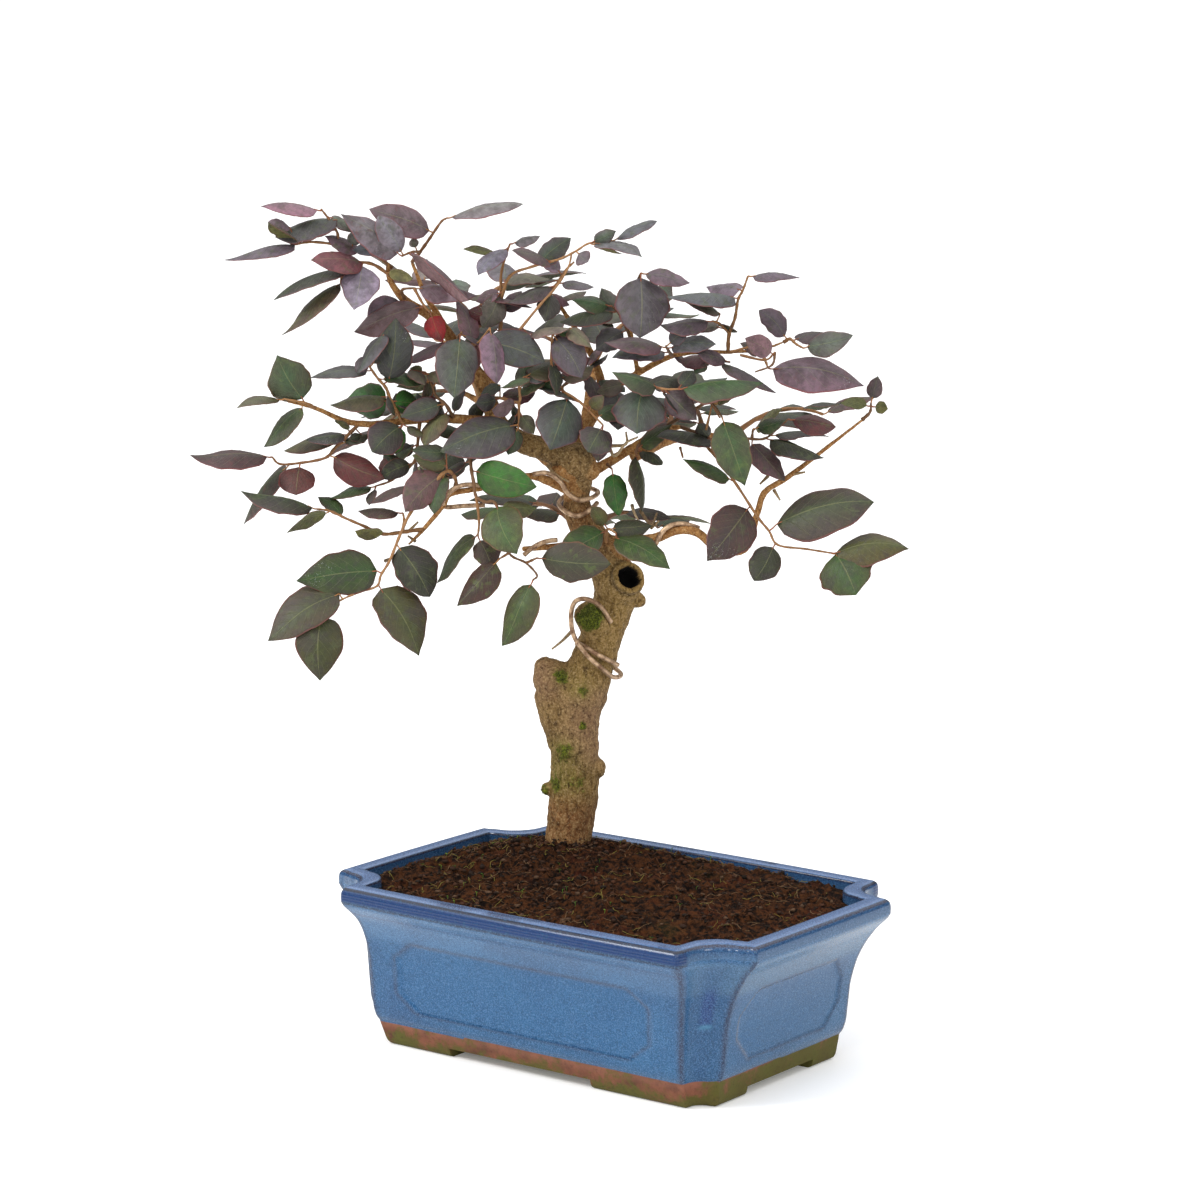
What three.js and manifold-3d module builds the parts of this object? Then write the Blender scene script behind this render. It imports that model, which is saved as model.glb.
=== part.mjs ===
// A chinese fringe flower bonsai in its glazed pot, in millimetres, +Z up.
// The pot is long in X and stands on the ground at height 0. Everything is placed from the middle
// of the pot's base first, and moved at the end until the origin is under the middle of the whole.
import * as THREE from "three";
import { mergeVertices } from "three/addons/utils/BufferGeometryUtils.js";
import Module from "manifold-3d";

const wasm = await Module();
wasm.setup();

// Driving dimensions of the pot
const potLength = 260;
const potWidth = 169.5;
const potHeight = 87.2;
const cornerCut = 25;
const rimWidth = 11;
const wallThickness = 7.5;
const lipHeight = 9.2;
const bandHeight = 13.5;
const footHeight = 5;
const footWidth = 15;
const floorTop = 16;
const drainRadius = 9;
const drainSpacing = 90;

// Driving dimensions of the tree and the soil
const seatGap = 0.35;
const bladeThickness = 0.8;
const petioleHalfWidth = 0.45;
const stalkLength = 2.6;
const smallLeafWidth = 17;
const tinyLeafLength = 15;
const leafRatio = 0.56;
const twigSides = 3;
const soilEdgeHeight = 82;
const moundHeight = 94.5;
const holeRadius = 5.4;
const wireRadius = 1.5;
const wireSides = 4;

// The viewer stands off the pot's front corner. Sighted points below are [x, y, nearer]: where the
// viewer sees the point in a square view 1200 steps wide, and how many mm nearer to the viewer it
// lies than the foot of the trunk.
const viewAzimuth = THREE.MathUtils.degToRad(36.835);
const viewElevation = THREE.MathUtils.degToRad(10);
const viewMiddle = 600;
const focalSteps = 3935.6;
const eye = new THREE.Vector3(1170.3, -1571.5, 579.8);
const trunkFoot = new THREE.Vector3(-57, 39, 94);

const awayDirection = new THREE.Vector3(
  -Math.sin(viewAzimuth) * Math.cos(viewElevation),
  Math.cos(viewAzimuth) * Math.cos(viewElevation),
  -Math.sin(viewElevation));
const rightDirection = new THREE.Vector3(Math.cos(viewAzimuth), Math.sin(viewAzimuth), 0);
const upDirection = new THREE.Vector3().crossVectors(rightDirection, awayDirection);
const nearDirection = new THREE.Vector3(Math.sin(viewAzimuth), -Math.cos(viewAzimuth), 0);

function sighted([x, y, nearer]) {
  const ray = awayDirection.clone()
    .addScaledVector(rightDirection, (x - viewMiddle) / focalSteps)
    .addScaledVector(upDirection, (viewMiddle - y) / focalSteps);
  const reach = (trunkFoot.clone().sub(eye).dot(nearDirection) + nearer) / ray.dot(nearDirection);
  return eye.clone().addScaledVector(ray, reach);
}

// A hidden point is [across, nearer, height]: mm to the viewer's right of the foot, mm nearer to
// the viewer than the foot, and mm above the ground.
function hidden([across, nearer, height]) {
  return new THREE.Vector3(trunkFoot.x, trunkFoot.y, height)
    .addScaledVector(rightDirection, across)
    .addScaledVector(nearDirection, nearer);
}

// A closed solid through rings of equally many points, the first ring's face looking backwards.
// Each end is closed by a fan round the ring's middle.
function loft(rings) {
  const count = rings[0].length;
  const points = rings.flat();
  const index = [];
  for (let r = 0; r + 1 < rings.length; r++) {
    for (let i = 0; i < count; i++) {
      const a = r * count + i;
      const b = r * count + (i + 1) % count;
      index.push(a, b, b + count, a, b + count, a + count);
    }
  }
  const lastRing = (rings.length - 1) * count;
  for (const [start, flip] of [[0, true], [lastRing, false]]) {
    if (count === 3) {
      index.push(start, flip ? start + 2 : start + 1, flip ? start + 1 : start + 2);
      continue;
    }
    const middle = new THREE.Vector3();
    for (let i = 0; i < count; i++) {
      middle.addScaledVector(points[start + i], 1 / count);
    }
    points.push(middle);
    for (let i = 0; i < count; i++) {
      const a = start + i;
      const b = start + (i + 1) % count;
      index.push(points.length - 1, flip ? b : a, flip ? a : b);
    }
  }
  return new THREE.BufferGeometry().setFromPoints(points).setIndex(index);
}

function solid(geometry) {
  const bare = geometry.clone();
  bare.deleteAttribute("normal");
  bare.deleteAttribute("uv");
  const merged = mergeVertices(bare, 1e-4);
  return new wasm.Manifold(new wasm.Mesh({
    numProp: 3,
    vertProperties: new Float32Array(merged.attributes.position.array),
    triVerts: new Uint32Array(merged.index.array),
  }));
}

function joined(solids) {
  return solids.reduce((whole, piece) => whole.add(piece));
}

// The one largest body of a solid, without loose scraps and with sealed hollows filled
function largestBody(whole) {
  return whole.decompose().reduce((best, body) => (body.volume() > best.volume() ? body : best));
}

function geometryOf(whole) {
  const mesh = whole.getMesh();
  const geometry = new THREE.BufferGeometry();
  geometry.setAttribute("position", new THREE.BufferAttribute(mesh.vertProperties, 3));
  geometry.setIndex(new THREE.BufferAttribute(mesh.triVerts, 1));
  geometry.computeVertexNormals();
  return geometry;
}

// A tapering round limb through points, with one radius given at each point
function limb(points, radii, sides, grow = 0) {
  const rings = [];
  let across = new THREE.Vector3(0.31, 0.92, 0.24);
  for (let i = 0; i < points.length; i++) {
    const before = points[Math.max(i - 1, 0)];
    const after = points[Math.min(i + 1, points.length - 1)];
    const along = after.clone().sub(before).normalize();
    across = across.clone().addScaledVector(along, -across.dot(along)).normalize();
    const other = new THREE.Vector3().crossVectors(along, across);
    const endward = i === 0 ? -grow : (i === points.length - 1 ? grow : 0);
    const ring = [];
    for (let k = 0; k < sides; k++) {
      const turn = (2 * Math.PI * k) / sides;
      ring.push(points[i].clone()
        .addScaledVector(along, endward)
        .addScaledVector(across, Math.cos(turn) * (radii[i] + grow))
        .addScaledVector(other, Math.sin(turn) * (radii[i] + grow)));
    }
    rings.push(ring);
  }
  return solid(loft(rings));
}

function knob(middle, radius, grow = 0, squash = [1, 1, 1]) {
  const ball = new THREE.SphereGeometry(1, 8, 4);
  ball.scale(...squash.map((factor) => radius * factor + grow));
  ball.translate(...middle.toArray());
  return solid(ball);
}

function block(sizeX, sizeY, sizeZ, x, y, bottom) {
  const box = new THREE.BoxGeometry(sizeX, sizeY, sizeZ);
  box.translate(x, y, bottom + sizeZ / 2);
  return solid(box);
}

// How far the pot leans to the left at each height, because it was made by hand. Each row is a
// height and the lean there.
const leanRows = [[0, 1.5], [13.5, 3.2], [40, 2.8], [55, 1.6], [68, 0]];

function leanAt(z) {
  const above = leanRows.findIndex(([height]) => height >= z);
  if (above < 1) {
    return above < 0 ? 0 : leanRows[0][1];
  }
  const [[low, first], [high, second]] = [leanRows[above - 1], leanRows[above]];
  return THREE.MathUtils.mapLinear(z, low, high, first, second);
}

// One ring of the pot in plan: a rectangle with hollowed corners and slightly bowed sides
function potRing(halfLength, halfWidth, cut, z, bow = 1) {
  const cornerPath = [[-1, 0], [-0.93, 0.12], [-0.7, 0.7], [-0.12, 0.93], [0, 1]];
  const longBow = 6 * bow;
  const shortBow = 2.4 * bow;
  const ring = [];
  for (let quarter = 0; quarter < 4; quarter++) {
    const signX = quarter === 0 || quarter === 1 ? 1 : -1;
    const signY = quarter === 1 || quarter === 2 ? 1 : -1;
    const forward = signX !== signY;
    const path = forward ? cornerPath : [...cornerPath].reverse();
    for (const [inX, inY] of path) {
      ring.push(new THREE.Vector3(
        signX * (halfLength + inX * cut), signY * (halfWidth - inY * cut), z));
    }
    for (const part of [-0.5, 0, 0.5]) {
      const bulge = 1 - part * part * 4 * 0.25;
      if (quarter === 0) {
        ring.push(new THREE.Vector3(halfLength + shortBow * bulge, part * 2 * (halfWidth - cut), z));
      } else if (quarter === 1) {
        ring.push(new THREE.Vector3(-part * 2 * (halfLength - cut), halfWidth + longBow * bulge, z));
      } else if (quarter === 2) {
        ring.push(new THREE.Vector3(-halfLength - shortBow * bulge, -part * 2 * (halfWidth - cut), z));
      } else {
        ring.push(new THREE.Vector3(part * 2 * (halfLength - cut), -halfWidth - longBow * bulge, z));
      }
    }
  }
  return ring.map((point) => point.setX(point.x - leanAt(z)));
}

// The flare from the band to the lip. Each row is a height and how far the wall has drawn in
// there, from 0 at the rim to 1 at the band.
const flare = [[bandHeight, 1], [19, 0.89], [44, 0.77], [58, 0.62], [66, 0.46], [72, 0.27], [77, 0.05]];
const innerFlare = [[44, 0.77], [60, 0.59], [73, 0.23]];
const bandHalfLength = 109;
const bandHalfWidth = 66.5;
const bandCut = 13;

// The slots between the feet: how long each is and where its middle lies along its side
const longSlotLength = 72;
const longSlotMiddle = -8.5;
const shortSlotLength = 44;
const shortSlotMiddle = 2;
const recessMiddle = -2;

function flareRing(z, drawn, inset = 0) {
  return potRing(
    THREE.MathUtils.lerp(potLength / 2, bandHalfLength, drawn) - inset,
    THREE.MathUtils.lerp(potWidth / 2, bandHalfWidth, drawn) - inset,
    THREE.MathUtils.lerp(cornerCut, bandCut, drawn) - inset * 0.3,
    z, 1 - drawn * 0.9);
}

function buildPot() {
  const lipBottom = potHeight - lipHeight;
  const body = solid(loft([
    potRing(bandHalfLength - 6.4, bandHalfWidth - 5.9, bandCut - 1, 0, 0.1),
    potRing(bandHalfLength - 3, bandHalfWidth - 2.6, bandCut, 2.8, 0.1),
    ...flare.map(([z, drawn]) => flareRing(z, drawn)),
    flareRing(lipBottom + 1, 0),
    flareRing(potHeight - 1, 0),
    flareRing(potHeight, 0, 0.8),
  ]));
  const hollow = solid(loft([
    flareRing(floorTop, 1, wallThickness),
    ...innerFlare.map(([z, drawn]) => flareRing(z, drawn, wallThickness)),
    flareRing(lipBottom, 0, rimWidth),
    flareRing(potHeight + 4, 0, rimWidth),
  ]));
  const longSlot = block(longSlotLength, potWidth, footHeight + 2, longSlotMiddle, 0, -2);
  const shortSlot = block(potLength, shortSlotLength, footHeight + 2, 0, shortSlotMiddle, -2);
  const underside = block(2 * (bandHalfLength - footWidth) + 2 * recessMiddle,
    2 * (bandHalfWidth - footWidth), footHeight + 2, recessMiddle, 0, -2);
  let pot = body.subtract(hollow).subtract(longSlot).subtract(shortSlot).subtract(underside);
  for (const side of [-1, 1]) {
    const drain = new THREE.CylinderGeometry(drainRadius, drainRadius, 4 * floorTop, 16);
    drain.rotateX(Math.PI / 2);
    drain.translate((side * drainSpacing) / 2, 0, 0);
    pot = pot.subtract(solid(drain));
  }
  return pot;
}

// A square of screen that keeps the soil in over each drain hole
const screenSize = 26;
const screenThickness = 1.2;

function buildScreen(x) {
  let screen = block(screenSize, screenSize, screenThickness, x, 0, floorTop + seatGap);
  for (const row of [-1, 1]) {
    for (const column of [-1, 1]) {
      screen = screen.subtract(block(6, 6, 6, x + column * 4.4, row * 4.4, floorTop - 2));
    }
  }
  return screen;
}

// The soil fills the pot and swells up to a low mound round the foot of the trunk
function buildSoil(trunkToClear) {
  const inner = (z, drawn, inset) => flareRing(z, drawn, inset + seatGap);
  const edge = inner(soilEdgeHeight, 0, rimWidth);
  const rings = [
    inner(floorTop + seatGap, 1, wallThickness),
    ...innerFlare.map(([z, drawn]) => inner(z, drawn, wallThickness + 0.2)),
    inner(potHeight - lipHeight - 0.6, 0.04, rimWidth),
    edge,
  ];
  const steps = [[0.72, 0.36], [0.4, 0.78], [0.14, 1]];
  for (const [shrink, rise] of steps) {
    rings.push(edge.map((point, i) => {
      const lump = 1.1 * Math.sin(i * 2.7 + shrink * 9);
      return new THREE.Vector3(
        THREE.MathUtils.lerp(trunkFoot.x, point.x, shrink),
        THREE.MathUtils.lerp(trunkFoot.y, point.y, shrink),
        THREE.MathUtils.lerp(soilEdgeHeight, moundHeight, rise) + lump * shrink);
    }));
  }
  let soil = solid(loft(rings)).subtract(trunkToClear);
  for (const side of [-1, 1]) {
    const room = screenSize + 2 * seatGap;
    const x = (side * drainSpacing) / 2;
    soil = soil.subtract(block(room, room, 6, x, 0, floorTop + 2 * seatGap + screenThickness - 6));
  }
  return largestBody(soil);
}

// The trunk and its branches. Each limb has sighted points and the radius at each.
const limbs = {
  trunk: {
    sides: 8,
    points: [[566, 872, 0], [568, 846, 0], [570, 826, 0], [574, 792, 0], [575, 752, 1], [575, 718, 1],
      [579, 692, 1], [592, 664, 0], [601, 636, 0], [611, 610, 0], [616, 586, 1], [607, 560, 2],
      [592, 538, 2], [579, 514, 1], [577, 494, 0], [578, 478, 0], [572, 462, 0], [552, 450, 2]],
    radii: [10, 12.4, 12.6, 13, 12.6, 12.8, 15.5, 11.6, 11, 10.8, 12, 10.6, 8.6, 7.6, 6.8, 8, 10, 7],
  },
  leader: {
    sides: 6,
    points: [[552, 450, 2], [525, 443, 3], [502, 428, 2], [488, 400, 0], [478, 375, -2],
      [460, 350, -2], [435, 320, 0], [405, 300, 2], [390, 280, 3], [388, 262, 4]],
    radii: [7, 5.8, 4.9, 4.3, 3.8, 3.4, 3, 2.5, 2, 1.5],
  },
  crestFork: {
    sides: 5,
    points: [[448, 334, -1], [436, 312, -6], [425, 295, -10], [412, 262, -14]],
    radii: [2.6, 2.1, 1.8, 1.4],
  },
  leftBranch: {
    sides: 5,
    points: [[502, 428, 2], [471, 420, 6], [430, 419, 10], [359, 424, 16], [315, 408, 18], [283, 400, 20]],
    radii: [4, 3, 2.5, 2.1, 1.6, 1.2],
  },
  rightBranch: {
    sides: 6,
    points: [[577, 470, 0], [600, 467, -2], [643, 441, -6], [662, 429, -8], [681, 427, -8]],
    radii: [6, 3, 2.4, 2.1, 1.8],
  },
  wiredBranch: {
    sides: 5,
    points: [[577, 492, 0], [558, 485, 6], [532, 476, 16], [505, 482, 18], [482, 488, 20],
      [450, 494, 24], [443, 506, 25], [422, 531, 28], [408, 545, 30]],
    radii: [4.4, 3, 2.3, 2.1, 2, 2, 1.9, 1.6, 1],
  },
  leftStub: {
    sides: 5,
    points: [[594, 542, 0], [560, 546, 10], [522, 549, 16]],
    radii: [3.6, 2.2, 1.8],
  },
  lowRightBranch: {
    sides: 5,
    points: [[600, 545, 0], [632, 542, 4], [656, 538, 8], [678, 530, 12], [698, 533, 14],
      [718, 549, 14], [745, 549, 12], [757, 514, 8], [765, 492, 6], [788, 477, 4], [825, 449, 0],
      [870, 414, -6]],
    radii: [5.4, 3.4, 2.9, 2.7, 2.6, 2.5, 2.3, 2.2, 2.1, 1.9, 1.6, 1.1],
  },
  middleLimb: {
    sides: 6,
    points: [[568, 458, -4], [588, 424, -16], [602, 394, -20], [594, 360, -18], [576, 330, -14],
      [556, 300, -10]],
    radii: [5, 3.4, 2.8, 2.4, 1.9, 1.4],
  },
  topRightLimb: {
    sides: 5,
    points: [[601, 396, -20], [640, 372, -17], [672, 356, -13], [702, 352, -9], [729, 352, -6],
      [760, 350, -4], [784, 342, -2]],
    radii: [2.5, 2.1, 1.9, 1.7, 1.5, 1.3, 1],
  },
  upwardFork: {
    sides: 5,
    points: [[638, 373, -17], [632, 340, -10], [630, 305, -3], [641, 276, 3]],
    radii: [1.8, 1.5, 1.3, 1],
  },
  burlRoot: {
    sides: 7,
    points: [[567, 742, 0], [558, 712, 1], [552, 690, 2]],
    radii: [10, 10.4, 10],
  },
  mossStub: {
    sides: 7,
    points: [[604, 640, 0], [595, 622, 8], [585, 610, 13]],
    radii: [10, 9, 7.5],
  },
};

// Limbs behind the trunk, where the viewer can't see them
const backLimbs = {
  backLeft: [[0, 0, 288], [-22, -26, 302], [-44, -54, 318], [-58, -84, 322]],
  backHigh: [[-40, -2, 332], [-42, -28, 352], [-50, -54, 368]],
  backMiddle: [[6, -6, 290], [10, -34, 318], [14, -62, 342]],
  backRight: [[34, -5, 298], [58, -34, 304], [88, -60, 300]],
  backLow: [[12, 0, 258], [16, -28, 256], [4, -58, 252]],
};
const backRadii = [3.6, 2.8, 2.2, 1.4];
const backSides = 5;

function buildTrunk(grow = 0) {
  const parts = [];
  for (const { sides, points, radii } of Object.values(limbs)) {
    parts.push(limb(points.map(sighted), radii, sides, grow));
  }
  for (const points of Object.values(backLimbs)) {
    parts.push(limb(points.map(hidden), backRadii.slice(0, points.length), backSides, grow));
  }
  parts.push(knob(sighted([553, 680, 2]), 10.8, grow, [1, 0.95, 1.05]));
  parts.push(knob(sighted([574, 463, 2]), 11, grow, [1.1, 1, 1]));
  parts.push(knob(sighted([596, 768, 2]), 5.2, grow));
  const stubFrom = sighted([616, 590, 2]);
  const stubTo = sighted([629, 577, 15]);
  parts.push(limb([stubFrom, stubTo], [11.4, 8.8], 10, grow));
  const trunk = joined(parts);
  if (grow > 0) {
    return trunk;
  }
  // The old cut on the stub has rotted out into a dark hole
  const stubAxis = stubTo.clone().sub(stubFrom).normalize();
  const holeBottom = stubTo.clone().addScaledVector(stubAxis, -11);
  const holeMouth = stubTo.clone().addScaledVector(stubAxis, 2);
  return largestBody(trunk.subtract(limb([holeBottom, holeMouth], [holeRadius * 0.6, holeRadius * 1.1], 8)));
}

// Training wires, each through sighted points that go round the limb they hold
const wires = {
  wire_loop: [[611, 622, 13], [600, 606, 18], [586, 599, 21], [575, 602, 21], [571, 616, 18],
    [574, 636, 15], [586, 654, 15], [600, 667, 15], [613, 677, 7], [621, 674, -6], [606, 662, -16],
    [588, 652, -15], [577, 645, -4], [582, 645, 10], [600, 656, 15], [618, 665, 7]],
  wire_upper: [[533, 474, 20.5], [547, 473, 17.5], [560, 481, 13], [567, 492, 11], [578, 500, 11],
    [591, 498, 7], [598, 492, -3], [586, 488, -11], [568, 494, -10], [559, 503, -2], [565, 511, 8],
    [578, 516, 11], [591, 509, 8], [597, 503, 0]],
  wire_left: [[482, 485, 23.4], [464, 485, 26], [452, 490, 28], [443, 501, 28], [446, 507, 22],
    [463, 506, 18], [485, 505, 17]],
  wire_stub: [[524, 555, 16.8], [531, 549, 17.6], [539, 544, 16], [548, 541, 13.7], [557, 540, 11.8]],
  wire_right: [[656, 544, 12.6], [662, 532, 14], [672, 525, 14], [685, 524, 13], [699, 528, 11]],
};

function buildWire(points, trunkToClear) {
  const curve = new THREE.CatmullRomCurve3(points.map(sighted), false, "centripetal");
  const outline = new THREE.Shape();
  for (let k = 0; k < wireSides; k++) {
    const turn = (2 * Math.PI * k) / wireSides;
    const place = [wireRadius * Math.cos(turn), wireRadius * Math.sin(turn)];
    if (k === 0) {
      outline.moveTo(...place);
    } else {
      outline.lineTo(...place);
    }
  }
  const tube = new THREE.ExtrudeGeometry(outline, {
    extrudePath: curve, steps: (points.length - 1) * 2, curveSegments: 1, bevelEnabled: false,
  });
  return largestBody(solid(tube).subtract(trunkToClear));
}

// Leaf colours, by the kind of leaf
const leafColours = {
  slate: 0x5c6660, plum: 0x54464c, green: 0x4a6638, olive: 0x6a6a48, maroon: 0x66343a,
  mauve: 0x86727a, bright: 0x3a7422, red: 0xa01a24, dark: 0x39402c,
};

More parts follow.
